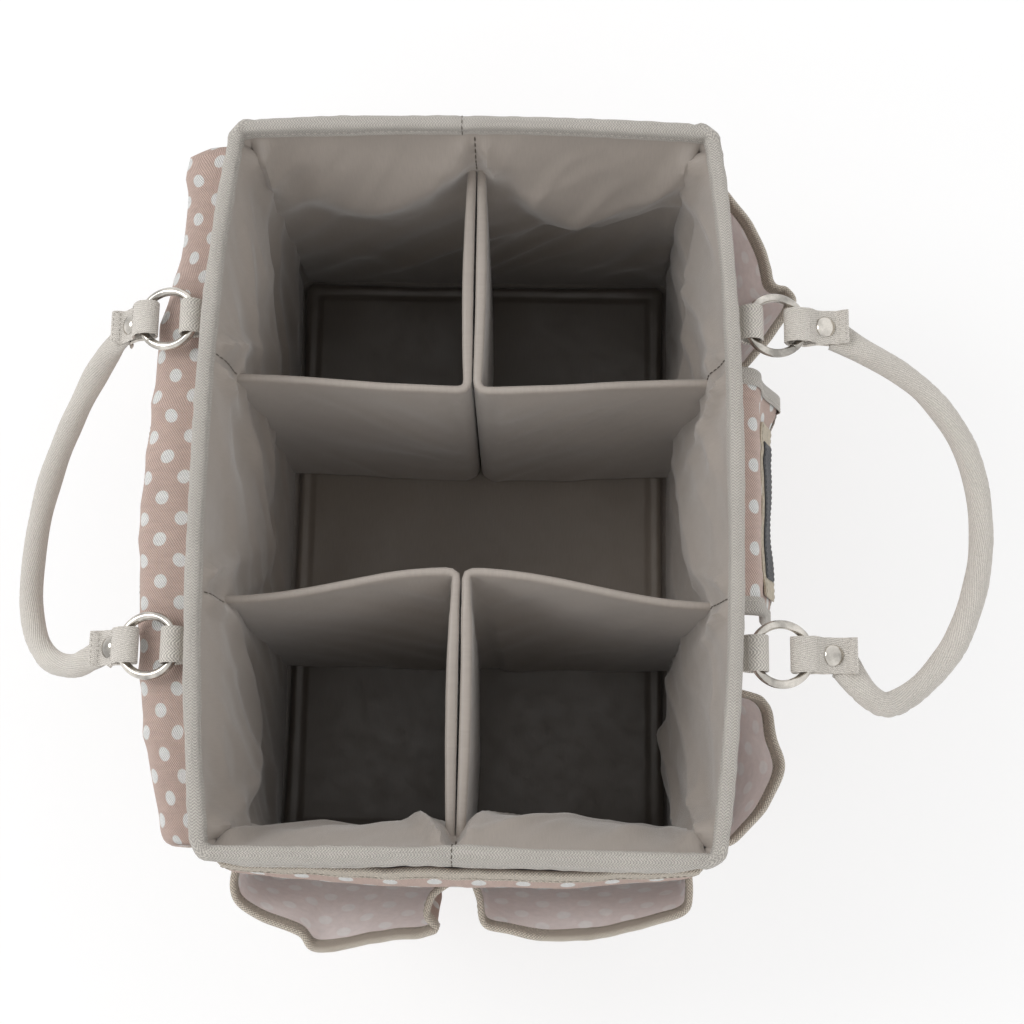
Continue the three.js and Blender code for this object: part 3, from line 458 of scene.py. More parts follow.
levels = np.linspace(shell_foot, wall_top, 56)
face = []
for z in levels:
    points, ways, walls, along = wall_plan(z)
    lap = run_length(points, closed=True)
    seam = np.min([np.abs(lap[:-1] - lap[i]) for i in np.flatnonzero(walls == at_corner)[2::5]], axis=0)
    welt = 0.0009 * hump(seam, 0.0016)
    sag = 0.0006 * ripples(lap[:-1], z, 0.07, 3) - 0.0005 * creases(lap[:-1], z, 0.05, 4)
    sag = sag * np.sin(math.pi * np.clip(rise(z), 0, 1)) ** 0.5
    out = shell_out + np.where(walls == back_wall, sag, 0.4 * np.minimum(sag, 0)) + welt
    face.append(at_height(points + ways * out[:, None], z))
face = grid_of(face)
lap = run_length(face[:, 28, :2], closed=True)
shell = cloth_piece('shell_cloth', face, twill_thickness, cloth_uv(lap, levels), dotted_cloth, closed=True)
fasten(shell, 'tote', 'dotted_twill', 'outer_shell')

# Base: a sheet of warm grey canvas under the box, turned up and sewn to the shell all round. It
# lies flat on the table with the base board on top of it.
canvas_grey = (0.38, 0.355, 0.325)
base_thickness = 0.0016
base_canvas, tree, shader = new_finish('base_canvas', canvas_grey, 0.9)
uv = cloth_place(tree)
weave = plain_weave(tree, uv, 0.0014)
slub = speckle(tree, uv, 300.0, 3.0, (0.25, 1, 1))
scuff = speckle(tree, uv, 14.0, 4.0)
tint(tree, shader, canvas_grey, (weave, 0.0, 1.0, 0.7, 1.12), (slub, 0.3, 0.7, 0.9, 1.08),
     (scuff, 0.35, 0.75, 1.04, 0.88))
roughen(tree, shader, scuff, 0.3, 0.7, 0.95, 0.8)
add_bump(tree, shader, weave, 0.0003)

shares = np.concatenate([np.linspace(0.02, 0.96, 32), [0.975, 0.988, 0.996, 1.0]])
edge, ways, walls, along = wall_plan(0.001)
edge = edge + ways * shell_out
turned = 0.0011 * np.maximum(0, (shares - 0.985) / 0.015) ** 2
welt = 0.0002 * hump(1 - shares - 6 / 130, 1.5 / 130)
face = grid_of([at_height(edge * s, z) for s, z in zip(shares, turned + welt)])
back = face.copy()
back[:, :, 2] = base_thickness
base = cloth_piece('base_cloth', face[:, ::-1], base_thickness, closed_up(face)[:, ::-1, :2], [base_canvas],
                   closed=True, back=back[:, ::-1])
fasten(base, 'tote', 'base_canvas', 'base_panel')

# Lining: smooth grey satin-woven cloth hangs from the rim inside the boards. It is looser than the
# walls, so it bellies inwards below the rim and hangs in swags between the dividers' seams.
lining_thickness = 0.0008
lining_foot = 0.0055
rim_foot = 0.2348
satin_grey = (0.375, 0.33, 0.292)


def satin_finish(name, colour):
    finish, tree, shader = new_finish(name, colour, 0.36, {
        'Specular IOR Level': 0.6, 'Sheen Weight': 0.5, 'Sheen Roughness': 0.45})
    uv = cloth_place(tree)
    fine = twill_weave(tree, uv, 0.0006, 0.5)
    thread = speckle(tree, uv, 1500.0, 2.0, (1, 0.08, 1))
    cloud = speckle(tree, uv, 16.0, 3.0)
    rub = speckle(tree, uv, 90.0, 5.0)
    tint(tree, shader, colour, (fine, 0.0, 1.0, 0.93, 1.03), (thread, 0.3, 0.7, 0.95, 1.04),
         (cloud, 0.3, 0.7, 0.96, 1.04))
    roughen(tree, shader, rub, 0.3, 0.7, 0.34, 0.46)
    add_bump(tree, shader, fine, 0.00003)
    return finish, tree, shader, shader.inputs['Base Color'].links[0].from_socket


# Painted shade: from one tone in the middle compartment to another in the corner ones, which the dividers
# part
def compartment_shade(tree, middle=0.0, corners=1.0):
    from_middle = maths(tree, 'ABSOLUTE', axes_of(tree, object_place(tree))['Y'])
    return spread(tree, from_middle, 0.057, 0.07, middle, corners)


# Low down in the corner compartments the cloth is darkened with painted shade
satin, tree, shader, woven = satin_finish('satin_lining', satin_grey)
painted_low_shade = spread(tree, axes_of(tree, object_place(tree))['Z'], 0.02, 0.15, -0.32, 0.0)
shade(tree, shader, woven, maths(tree, 'MULTIPLY_ADD', compartment_shade(tree), painted_low_shade, 1.0))

# Where each wall's loose lining folds over: place along the wall, height of the fold, depth
right_swags = [(-0.198, 0.205, 0.0), (-0.19, 0.157, 0.004), (-0.172, 0.098, 0.007), (-0.149, 0.06, 0.009),
               (-0.11, 0.078, 0.009), (-0.07, 0.114, 0.006), (-0.058, 0.168, 0.003), (-0.045, 0.16, 0.006),
               (0.005, 0.125, 0.008), (0.055, 0.09, 0.006), (0.068, 0.1, 0.003), (0.085, 0.108, 0.005),
               (0.13, 0.142, 0.006), (0.18, 0.19, 0.003), (0.198, 0.206, 0.0)]
left_swags = [(-0.198, 0.206, 0.0), (-0.188, 0.183, 0.004), (-0.153, 0.137, 0.008), (-0.123, 0.117, 0.008),
              (-0.085, 0.155, 0.005), (-0.062, 0.18, 0.002), (-0.04, 0.115, 0.004), (0.01, 0.104, 0.005),
              (0.055, 0.105, 0.004), (0.068, 0.1, 0.003), (0.093, 0.108, 0.005), (0.14, 0.15, 0.006),
              (0.18, 0.19, 0.003), (0.198, 0.206, 0.0)]
front_belly = [(-0.134, 0.0), (-0.112, 0.004), (-0.096, 0.008), (-0.074, 0.0105), (-0.055, 0.0095),
               (-0.035, 0.012), (-0.012, 0.0125), (-0.004, 0.01), (0.004, 0.014), (0.016, 0.0175),
               (0.034, 0.0175), (0.053, 0.0165), (0.075, 0.0145), (0.102, 0.011), (0.126, 0.003),
               (0.134, 0.0)]
back_belly = [(-0.134, 0.0, 0.215), (-0.1, 0.007, 0.178), (-0.066, 0.013, 0.163), (-0.03, 0.009, 0.182),
              (-0.006, 0.002, 0.215), (0.006, 0.002, 0.215), (0.03, 0.01, 0.175), (0.062, 0.0135, 0.15),
              (0.095, 0.009, 0.172), (0.134, 0.0, 0.215)]


# A smooth curve through a table of values
def through(table, at, column=1):
    table = np.asarray(table)
    x, y = table[:, 0], table[:, column]
    at = np.clip(at, x[0], x[-1])
    slope = np.gradient(y, x)
    i = np.clip(np.searchsorted(x, at) - 1, 0, len(x) - 2)
    h = x[i + 1] - x[i]
    t = (at - x[i]) / h
    return ((1 + 2 * t) * (1 - t) ** 2 * y[i] + t * (1 - t) ** 2 * h * slope[i]
            + t * t * (3 - 2 * t) * y[i + 1] + t * t * (t - 1) * h * slope[i + 1])


# A ramp that is 0 up to x = 0 and 1 from the given length on
def ramp(x, length):
    return np.clip(x / length, 0, 1)


def eased(share):
    return share * share * (3 - 2 * share)


# The walls' corners and the dividers' seams: wall, and place along it
wall_ends = [(wall, side * (0.198, 0.132, 0.198, 0.132)[wall]) for wall in range(4) for side in (-1, 1)]
lining_seams = [(right_wall, 0.069), (left_wall, 0.069), (right_wall, -0.061), (left_wall, -0.061),
                (back_wall, 0.0), (front_wall, -0.004)]
front_fold = 0.18


# How far the loose lining hangs in from the walls at one height: it bellies out above the height
# where it folds over, is drawn in again below it, and is pinched where the seams hold it
def lining_push(walls, along, z):
    push = np.zeros(len(along))
    for wall, swags in ((right_wall, right_swags), (left_wall, left_swags)):
        on = walls == wall
        fold, depth = through(swags, along[on]), through(swags, along[on], 2)
        above = ramp(rim_foot - z, rim_foot - fold) ** 1.25
        below = eased(1 - ramp(fold - z, 0.014 if wall == right_wall else 0.024))
        push[on] = depth * np.where(z > fold, above, 0.12 + 0.88 * below)
    on = walls == back_wall
    depth, fold = through(back_belly, along[on]), through(back_belly, along[on], 2)
    above, below = eased(ramp(rim_foot - z, rim_foot - fold)), eased(1 - ramp(fold - z, 0.045))
    push[on] = depth * np.where(z > fold, above, below)
    on = walls == front_wall
    depth = np.maximum(0, through(front_belly, along[on]))
    above, below = ramp(rim_foot - z, 0.055), ramp(z, front_fold)
    push[on] = depth * np.where(z > front_fold, np.sin(above * math.pi / 2),
                                np.sin(below * math.pi / 2) ** 1.5)
    # The corners are filled by the cloth that hangs across them
    below_rim = max(0.0, rim_foot - z)
    half = np.where((walls == back_wall) | (walls == front_wall), straight(inside_width, z),
                    straight(inside_length, z))
    aside = np.where(walls == at_corner, 0.0, half - np.abs(along))
    fill = ramp(below_rim, 0.014) * ramp(z - 0.02, 0.15)
    push = push + 0.0065 * fill * hump(aside, 0.011)
    # Two creases run down from each corner and seam, and lean away from it
    for i, (wall, spot) in enumerate(wall_ends + lining_seams):
        for way in (-1, 1):
            lean = 0.24 + 0.13 * math.sin(5.1 * i + way)
            start = (0.009 if i < len(wall_ends) else 0.005) + 0.002 * math.cos(3.3 * i + way)
            away = way * (along - spot) - start - lean * below_rim
            size = 0.0068 + 0.0022 * math.sin(2.7 * i + 2 * way)
            fade = size * math.exp(-below_rim / 0.07) * ramp(below_rim, 0.012)
            push = push + (walls == wall) * fade * hump(away, 0.0032 + 0.05 * below_rim)
    for wall, seam in lining_seams:
        held = hump(along - seam, 0.004) * ramp(z - 0.185, 0.01)
        push = push * (1 - 0.85 * held * (walls == wall))
    return push


levels = np.concatenate([np.linspace(wall_top, rim_foot, 4)[:-1], np.linspace(rim_foot, 0.012, 74),
                         [0.009, 0.007, 0.0058, lining_foot]])
face = []
for z in levels:
    points, ways, walls, along = wall_plan(z)
    lap = run_length(points, closed=True)[:-1]
    free = ramp(rim_foot - z, 0.03) * ramp(z - 0.01, 0.04) * (walls < at_corner)
    soft = 0.0013 * ripples(lap, z, 0.085, 11) + 0.0016 * creases(lap + 0.35 * z, 0.4 * z, 0.055, 12)
    soft += 0.0032 * creases(lap + 0.9 * z, 0.25 * z, 0.11, 13)
    push = lining_push(walls, along, z) + free * (soft + 0.0008)
    face.append(at_height(points - ways * np.maximum(0, push)[:, None], z))
# Under the pad the cloth runs in to the middle of the floor
inward = np.array([0.985, 0.95, 0.85, 0.6, 0.3, 0.05])
face += [face[-1] * (share, share, 1) for share in inward]
face = grid_of(face)
lining_face, lining_walls, lining_along, lining_levels = face, walls, along, levels
lap = run_length(face[:, 40, :2], closed=True)
drop = np.concatenate([-levels, -lining_foot + inside_width / 2 * (1 - inward)])
lining = cloth_piece('lining_cloth', face, lining_thickness, cloth_uv(lap, drop), [satin], closed=True)
fasten(lining, 'tote', 'satin_lining', 'lining')

# Floor pad: a thin pad in the same satin lies loose on the floor, stitched round a little way in
# from its edge. Its filling swells it softly between the stitching and the edge.
pad_foot, pad_top = 0.0058, 0.0108
pad_half = (0.1274, 0.1934)
pad_seam = 0.011
most_swelling, swell_steps = 0.002, 16
# The pad's satin is much darker than the walls' lining: painted shade of the deep floor
floor_shade_grey = (0.16, 0.135, 0.112)
pad_round, skin_inset = 0.007, 0.0016
outline = []
for sx, sy, start in ((1, 1, 0), (-1, 1, 90), (-1, -1, 180), (1, -1, 270)):
    for a in np.radians(start + np.arange(0, 91, 15)):
        outline.append((sx * (pad_half[0] - pad_round) + (pad_round - skin_inset) * math.cos(a),
                        sy * (pad_half[1] - pad_round) + (pad_round - skin_inset) * math.sin(a)))
count = len(outline)
pad_skin = bpy.data.meshes.new('floor_pad_cloth')
pad_skin.from_pydata([(x, y, z) for z in (pad_foot + 0.0008, pad_top - 0.0012) for x, y in outline], [],
                     [tuple(range(count))[::-1], tuple(range(count, 2 * count))]
                     + [(i, (i + 1) % count, count + (i + 1) % count, count + i) for i in range(count)])
pad = new_object('floor_pad_cloth', pad_skin)


def apply_modifiers(piece):
    bpy.context.view_layer.update()
    solved = piece.evaluated_get(bpy.context.evaluated_depsgraph_get())
    mesh = bpy.data.meshes.new_from_object(solved)
    piece.modifiers.clear()
    piece.data = mesh


def points_of(piece):
    found = np.zeros(len(piece.data.vertices) * 3, np.float32)
    piece.data.vertices.foreach_get('co', found)
    return found.reshape(-1, 3).astype(float)


def set_points(piece, points):
    piece.data.vertices.foreach_set('co', np.asarray(points, np.float32).ravel())
    piece.data.update()


block = pad.modifiers.new('block', 'REMESH')
block.mode = 'VOXEL'
block.voxel_size = 0.0022
apply_modifiers(pad)
before = points_of(pad)
swell = pad.modifiers.new('swell', 'CLOTH')
for setting, value in {'quality': 6, 'mass': 0.25, 'tension_stiffness': 22, 'compression_stiffness': 22,
                       'bending_stiffness': 0.6, 'use_pressure': True,
                       'uniform_pressure_force': 3.0}.items():
    setattr(swell.settings, setting, value)
swell.settings.effector_weights.gravity = 0
swell.point_cache.frame_start, swell.point_cache.frame_end = 1, swell_steps
for step in range(1, swell_steps + 1):
    scene.frame_set(step)
apply_modifiers(pad)
scene.frame_set(1)
travel = points_of(pad) - before
far = np.linalg.norm(travel, axis=1, keepdims=True)
set_points(pad, before + travel * np.minimum(1, most_swelling / np.maximum(far, 1e-9)))
place = points_of(pad)
inset = np.minimum(pad_half[0] - np.abs(place[:, 0]), pad_half[1] - np.abs(place[:, 1]))
groove = hump(inset - pad_seam, 0.0016)
lift = place[:, 2] > (pad_foot + pad_top) / 2
soft = 0.00035 * ripples(place[:, 0], place[:, 1], 0.06, 21)
soft += 0.0003 * creases(place[:, 0], place[:, 1], 0.05, 22) * ramp(0.03 - inset, 0.02)
place[:, 2] += np.where(lift, soft - 0.0013 * groove, 0)
place = np.clip(place, (-pad_half[0], -pad_half[1], pad_foot), (*pad_half, pad_top + 0.0014))
set_points(pad, place)
loops = np.zeros(len(pad.data.loops), np.int32)
pad.data.loops.foreach_get('vertex_index', loops)
layer = pad.data.uv_layers.new(name='cloth')
layer.data.foreach_set('uv', place[loops][:, :2].astype(np.float32).ravel())
pad.data.polygons.foreach_set('use_smooth', np.ones(len(pad.data.polygons), bool))
pad.data.materials.clear()
# The pad is painted paler in the open middle compartment and darker in the corner ones: painted light and
# shade
floor_satin, tree, shader, woven = satin_finish('floor_satin', floor_shade_grey)
shade(tree, shader, woven, compartment_shade(tree, 1.5, 0.72))
pad.data.materials.append(floor_satin)
fasten(pad, 'tote', 'satin_lining', 'floor_pad')

# The pad's stitching: single stitches of grey thread, each sunk a little at its ends
thread_grey = (0.17, 0.148, 0.13)


def thread_finish(name, colour):
    finish, tree, shader = new_finish(name, colour, 0.6)
    place = object_place(tree)
    twist = shader_step(tree, 'TexWave', place, 2600.0, 1.5, 2.0, bands_direction='DIAGONAL')
    fuzz = speckle(tree, place, 1200.0, 3.0)
    tint(tree, shader, colour, (twist, 0.0, 1.0, 0.8, 1.15), (fuzz, 0.3, 0.7, 0.9, 1.1))
    add_bump(tree, shader, twist, 0.0001)
    return finish


grey_thread = thread_finish('grey_thread', thread_grey)


def at_places(places, run, line):
    return np.column_stack([np.interp(places, run, line[:, k]) for k in range(line.shape[1])])


# Rows of stitches along lines, given as (points, ways out of the cloth). Each stitch is a small
# six-sided bead of thread whose ends dip into the cloth: (place along it, thickness, height).
bead = [(-0.5, 0.15, -0.9), (-0.36, 0.85, 0.0), (0.0, 1.0, 0.35), (0.36, 0.85, 0.0), (0.5, 0.15, -0.9)]
bead_sides = 6


def stitch_rows(name, lines, finish, body, slot, length=0.0031, gap=0.0011, width=0.00055, lift=0.0001):
    points, faces = [], []
    for line, out in lines:
        line, out = np.asarray(line, float), np.asarray(out, float)
        run = run_length(line)
        count = max(1, int(run[-1] / (length + gap)))
        centres = (np.arange(count) + 0.5) * run[-1] / count
        way = unit(at_places(centres + 0.0008, run, line) - at_places(centres - 0.0008, run, line))
        up = at_places(centres, run, out)
        up = unit(up - way * np.sum(up * way, axis=1, keepdims=True))
        for c, w, u, s in zip(at_places(centres, run, line), way, up, np.cross(way, up)):
            first = len(points)
            for t, r, h in bead:
                for a in np.arange(bead_sides) * 2 * math.pi / bead_sides:
                    points.append(c + w * (t * length) + u * (lift + width * 0.45 * (h + r * math.sin(a)))
                                  + s * (width * 0.5 * r * math.cos(a)))
            for p in range(first, first + (len(bead) - 1) * bead_sides):
                q = p + 1 if (p - first + 1) % bead_sides else p + 1 - bead_sides
                faces.append((p, q, q + bead_sides, p + bead_sides))
    piece = mesh_piece(name, points, faces, None, [finish])
    fasten(piece, body, slot)
    return piece


ring_x, ring_y = pad_half[0] - pad_seam, pad_half[1] - pad_seam
turns = (ring_x, ring_y) * np.array([(1, -1), (1, 1), (-1, 1), (-1, -1), (1, -1)])
steps = np.linspace(0.01, 0.99, 40)[:, None]
sides = [(at_height(p * (1 - steps) + q * steps, pad_top - 0.0016), np.tile((0, 0, 1.0), (len(steps), 1)))
         for p, q in zip(turns[:-1], turns[1:])]
stitch_rows('floor_pad_stitches', sides, grey_thread, 'tote', 'satin_lining', 0.004, 0.0016)

# Dividers: four L-shaped satin sleeves, each over two boards. They are sewn to a long wall and a
# short wall, and stand back to back in pairs along the middle. The cloth is folded over the top.
divider_top = 0.1908
divider_foot = 0.013
divider_half = 0.0018
divider_cloth = 0.0007
divider_gap = 0.0003
top_round = 0.0014


# The ways straight across a line drawn in plan
def across_line(line):
    along = unit(np.gradient(line, axis=0))
    return np.column_stack([-along[:, 1], along[:, 0]])


# One divider in plan at one height, from the long wall round its corner to the short wall
def divider_plan(side, end, z, steps=44):
    share = (z - divider_foot) / (divider_top - divider_foot)
    foot, top, sag = (0.056, 0.069, 0.006) if end > 0 else (0.076, 0.061, 0.018)
    fin_x = (0.0 if end > 0 else -0.004) + side * 0.0027
    wall_y = end * (foot + (top - foot) * share)
    corner_y = wall_y + (-sag * (1 + share) / 2 if end > 0 else sag * share)
    wall_x = side * (long_wall(wall_y, z) - divider_gap)
    end_y = end * (short_wall(fin_x, z, 0, end) - divider_gap)
    t = np.linspace(0, 1, steps)
    cross = np.column_stack([wall_x + (fin_x - wall_x) * t,
                             wall_y + (corner_y - wall_y) * (1 - np.cos(math.pi * t)) / 2])
    fin = np.column_stack([fin_x + side * 0.0018 * np.sin(math.pi * t), corner_y + (end_y - corner_y) * t])
    corner = cross[-1]
    start, finish = (part[np.linalg.norm(part - corner, axis=1) > 0.0035] for part in (cross, fin))
    bend = np.linspace(0, 1, 8)[1:-1, None]
    arc = (1 - bend) ** 2 * start[-1] + 2 * bend * (1 - bend) * corner + bend ** 2 * finish[0]
    line = np.concatenate([start, arc, finish])
    run = run_length(line)
    at = np.linspace(0, run[-1], 2 * steps)
    return at_places(at, run, line), at


for end, end_name in ((1, 'back'), (-1, 'front')):
    for side, side_name in ((-1, 'left'), (1, 'right')):
        name, seed = f'divider_{end_name}_{side_name}', 40 + 3 * end + side
        levels = np.linspace(divider_foot, divider_top - top_round, 46)
        top_arc = np.linspace(0, math.pi, 9)[1:-1]
        section = [(-1, z) for z in levels]
        section += [(-math.cos(a), levels[-1] + top_round * math.sin(a)) for a in top_arc]
        section += [(1, z) for z in levels[::-1]]
        face = []
        for shift, z in section:
            line, at = divider_plan(side, end, z)
            way = across_line(line)
            share, below_top = at / at[-1], divider_top - z
            near_top = math.exp(-below_top / 0.004)
            crisp = ramp(0.5 - share, 0.06)
            loose = np.sin(math.pi * share) * np.clip(below_top / 0.02, 0.25 * (1 - crisp), 1)
            face_seed = seed + (20 if shift > 0 else 0)
            puff = 0.0008 * (1 + ripples(at, z, 0.09, face_seed))
            puff += 0.0011 * creases(at - 0.8 * below_top, 0.3 * z, 0.06, face_seed + 9)
            puff = np.maximum(0, puff) * loose * np.where(share < 0.5, 1, 0.55)
            puff = np.where(np.abs(share - 0.5) > 0.05, puff, 0)
            twin = (shift * way[:, 0] * side < 0) * np.sin(math.pi * np.clip(2 * share - 1, 0, 1))
            off = shift * (divider_half - 0.00022 * crisp * near_top + puff + 0.0012 * twin)
            droop = np.maximum(-0.0003, 0.0012 * ripples(at, 0 * at, 0.07, seed + 5)) * near_top
            face.append(at_height(line + way * off[:, None], z + droop * np.sin(math.pi * share)))
        face = grid_of(face)
        fold = run_length(np.array([(s * divider_half, z) for s, z in section]))
        sleeve = cloth_piece(name + '_cloth', face[::-1], divider_cloth, cloth_uv(at, fold)[::-1], [satin])
        fasten(sleeve, 'tote', 'satin_lining', name)

# The seams that hold the dividers run on up the lining to the rim, in dark thread
dark_thread = thread_finish('dark_thread', (0.13, 0.11, 0.09))
levels_up = np.flatnonzero((lining_levels > divider_top + 0.001) & (lining_levels < rim_foot - 0.0008))


def column_at(walls, along, wall, spot):
    on = np.flatnonzero(walls == wall)
    return on[np.argmin(np.abs(along[on] - spot))]


seams = []
for wall, seam in lining_seams:
    inward = ((-1, 0, 0.3), (0, -1, 0.3), (1, 0, 0.3), (0, 1, 0.3))[wall]
    seams.append((lining_face[column_at(lining_walls, lining_along, wall, seam), levels_up],
                  np.tile(np.array(inward), (len(levels_up), 1))))
stitch_rows('lining_seams', seams, dark_thread, 'tote', 'satin_lining', 0.0042, 0.0012, 0.0008, 0.0003)

# Rim binding: pale herringbone webbing is folded over the top of all the wall layers and sewn
# through. Its fold is soft and round, it puckers at the corners, and it is joined at the back.
rim_leg = 0.0012
webbing_pale = (0.515, 0.483, 0.441)


# Ribbed webbing: the ribs lean over at the given slope, and turn back at every given width
def webbing_finish(name, colour, turn_back, pitch, slope, low, high):
    finish, tree, shader = new_finish(name, colour, 0.85, {'Sheen Weight': 0.15, 'Sheen Roughness': 0.5})
    uv = cloth_place(tree)
    split = axes_of(tree, uv)
    zigzag = shader_step(tree, 'CombineXYZ', split[0], maths(tree, 'PINGPONG', split[1], turn_back))
    ribs = twill_weave(tree, zigzag, pitch, slope, 0.25)
    fuzz = speckle(tree, uv, 700.0, 4.0)
    cloud = speckle(tree, uv, 25.0, 3.0)
    tint(tree, shader, colour, (ribs, -0.1, 1.1, low, high), (fuzz, 0.3, 0.7, 0.92, 1.07),
         (cloud, 0.35, 0.7, 0.96, 1.04))
    roughen(tree, shader, ribs, 0.0, 1.0, 0.95, 0.78)
    add_bump(tree, shader, ribs, 0.0003)
    return finish


herringbone = webbing_finish('herringbone_webbing', webbing_pale, 0.0019, 0.0016, 1.0, 0.66, 1.16)
rim_inner, rim_outer = -0.0015, shell_out + 0.0015
rim_middle, rim_half = (rim_inner + rim_outer) / 2, (rim_outer - rim_inner) / 2
section = [(rim_inner + 0.0001, rim_foot), (rim_inner - 0.0001, 0.2362), (rim_inner + 0.0006, 0.238),
           (rim_inner - 0.0003, 0.2396), (rim_inner - 0.0005, 0.2412), (rim_inner - 0.0003, 0.2428)]
section += [(rim_middle + (rim_half + 0.0003) * math.cos(a), 0.2432 + 0.0027 * math.sin(a))
            for a in np.linspace(math.pi, 0, 11)]
section += [(rim_outer + 0.0004, 0.2426), (rim_outer + 0.0005, 0.241), (rim_outer + 0.0003, 0.2394),
            (rim_outer - 0.0002, 0.238), (rim_outer + 0.0001, 0.2362), (rim_outer, rim_foot)]
points, ways, walls, along = wall_plan(0.242)
around = run_length(points, closed=True)
lap = around[:-1]
corner = np.min([np.abs(lap - c) for c in lap[walls == at_corner]] + [np.abs(lap - lap[-1])], axis=0)
pucker = hump(corner, 0.008)
rim_joins = ((back_wall, -0.006), (front_wall, -0.004))
notch = sum(np.where(walls == wall, 0.0014 * hump(along - spot, 0.0035), 0) for wall, spot in rim_joins)
wave = 0.00035 * ripples(lap, 0 * lap, 0.06, 31) + pucker * 0.0005 * np.sin(lap / 0.0011)
face = []
for i, (out, z) in enumerate(section):
    base_points, base_ways, _, _ = wall_plan(min(z, rim_top))
    top = hump(z - rim_top, 0.004)
    ripple = 0.0002 * ripples(lap, z + 0 * lap, 0.012, 33) + wave * np.sign(out - rim_middle) * 0.7
    lean = 0.0034 * ramp(0.2445 - z, 0.009) * (out > rim_middle)
    lean = lean * (walls == front_wall) * ramp(0.13 - np.abs(along), 0.02)
    dip = notch * top + pucker * 0.0008 * np.sin(lap / 0.0011 + 0.6 * i) * top
    dip = dip + 0.0003 * top * (1 + np.sin(lap / 0.021))
    face.append(at_height(base_points + base_ways * (out + ripple + lean)[:, None], z - dip))
face = grid_of(face)
uv_grid = cloth_uv(around, run_length(np.array(section)))
rim_cloth = cloth_piece('rim_cloth', face[:, ::-1], 0.0009, uv_grid[:, ::-1], [herringbone], closed=True)
fasten(rim_cloth, 'tote', 'grey_webbing', 'rim_binding')
pale_thread = thread_finish('pale_thread', (0.68, 0.64, 0.59))
toward = at_height(ways, 0)
rows = [(closed_up(face[:, k]), way * closed_up(toward)) for k, way in ((2, -1), (-3, 1))]
stitches = stitch_rows('rim_stitches', rows, pale_thread, 'tote', 'grey_webbing', 0.0027, 0.0015, 0.0009)
joins = []
for wall, spot in rim_joins:
    column = column_at(walls, along, wall, spot)
    over = (0, 0, 1.0) + toward[column] * np.linspace(-1, 1, len(section))[:, None]
    joins.append((face[column], over))
join_stitches = stitch_rows('rim_join', joins, dark_thread, 'tote', 'grey_webbing', 0.0024, 0.0008, 0.0007)

# Front pockets: a slip pocket as wide as the wall, cut from the dotted twill, with two bellows
# pockets sewn on its face. Each mouth is bound with taupe twill tape, folded over and stitched.
pocket_cloth = 0.0012
face_gap = 0.0003
wall_face = shell_out + 0.00025
tape_taupe = (0.50, 0.445, 0.375)
twill_tape, tree, shader = new_finish('twill_tape', tape_taupe, 0.85, {'Sheen Weight': 0.12})
uv = cloth_place(tree)
ribs = twill_weave(tree, uv, 0.0017, 1.0, 0.3)
fuzz = speckle(tree, uv, 700.0, 4.0)
strand = speckle(tree, uv, 1100.0, 1.0, (1, 0.3, 1))
tint(tree, shader, tape_taupe, (ribs, 0.0, 1.0, 0.62, 1.3), (fuzz, 0.3, 0.7, 0.88, 1.1),
     (strand, 0.35, 0.65, 0.9, 1.12))
roughen(tree, shader, ribs, 0.0, 1.0, 0.95, 0.75)
add_bump(tree, shader, ribs, 0.00028)
taupe_thread = thread_finish('taupe_thread', (0.44, 0.395, 0.335))


wall_outward = {'right': (1, 0, 0), 'left': (-1, 0, 0), 'front': (0, -1, 0)}


# Points on a wall's outside, at a place along the wall, a distance out from it and a height
def on_wall(wall, along, out, z):
    if wall == 'front':
        return np.stack([along, -short_wall(along, z, wall_face + out, -1), z + 0 * along], axis=-1)
    return np.stack([wall_outward[wall][0] * long_wall(along, z, wall_face + out), along, z + 0 * along],
                    axis=-1)


# A rounded line through given points, evenly spaced: the pocket's edge as seen from above
def rounded_line(points, count):
    points = np.asarray(points, float)
    p = np.concatenate([[2 * points[0] - points[1]], points, [2 * points[-1] - points[-2]]])
    found = []
    for i in range(1, len(p) - 2):
        t = np.linspace(0, 1, 24, endpoint=False)[:, None]
        a, b, c, d = p[i - 1], p[i], p[i + 1], p[i + 2]
        found.append(0.5 * (2 * b + (c - a) * t + (2 * a - 5 * b + 4 * c - d) * t ** 2
                            + (3 * b - a - 3 * c + d) * t ** 3))
    line = np.concatenate(found + [points[-1:]])
    run = run_length(line)
    return at_places(np.linspace(0, run[-1], count), run, line)


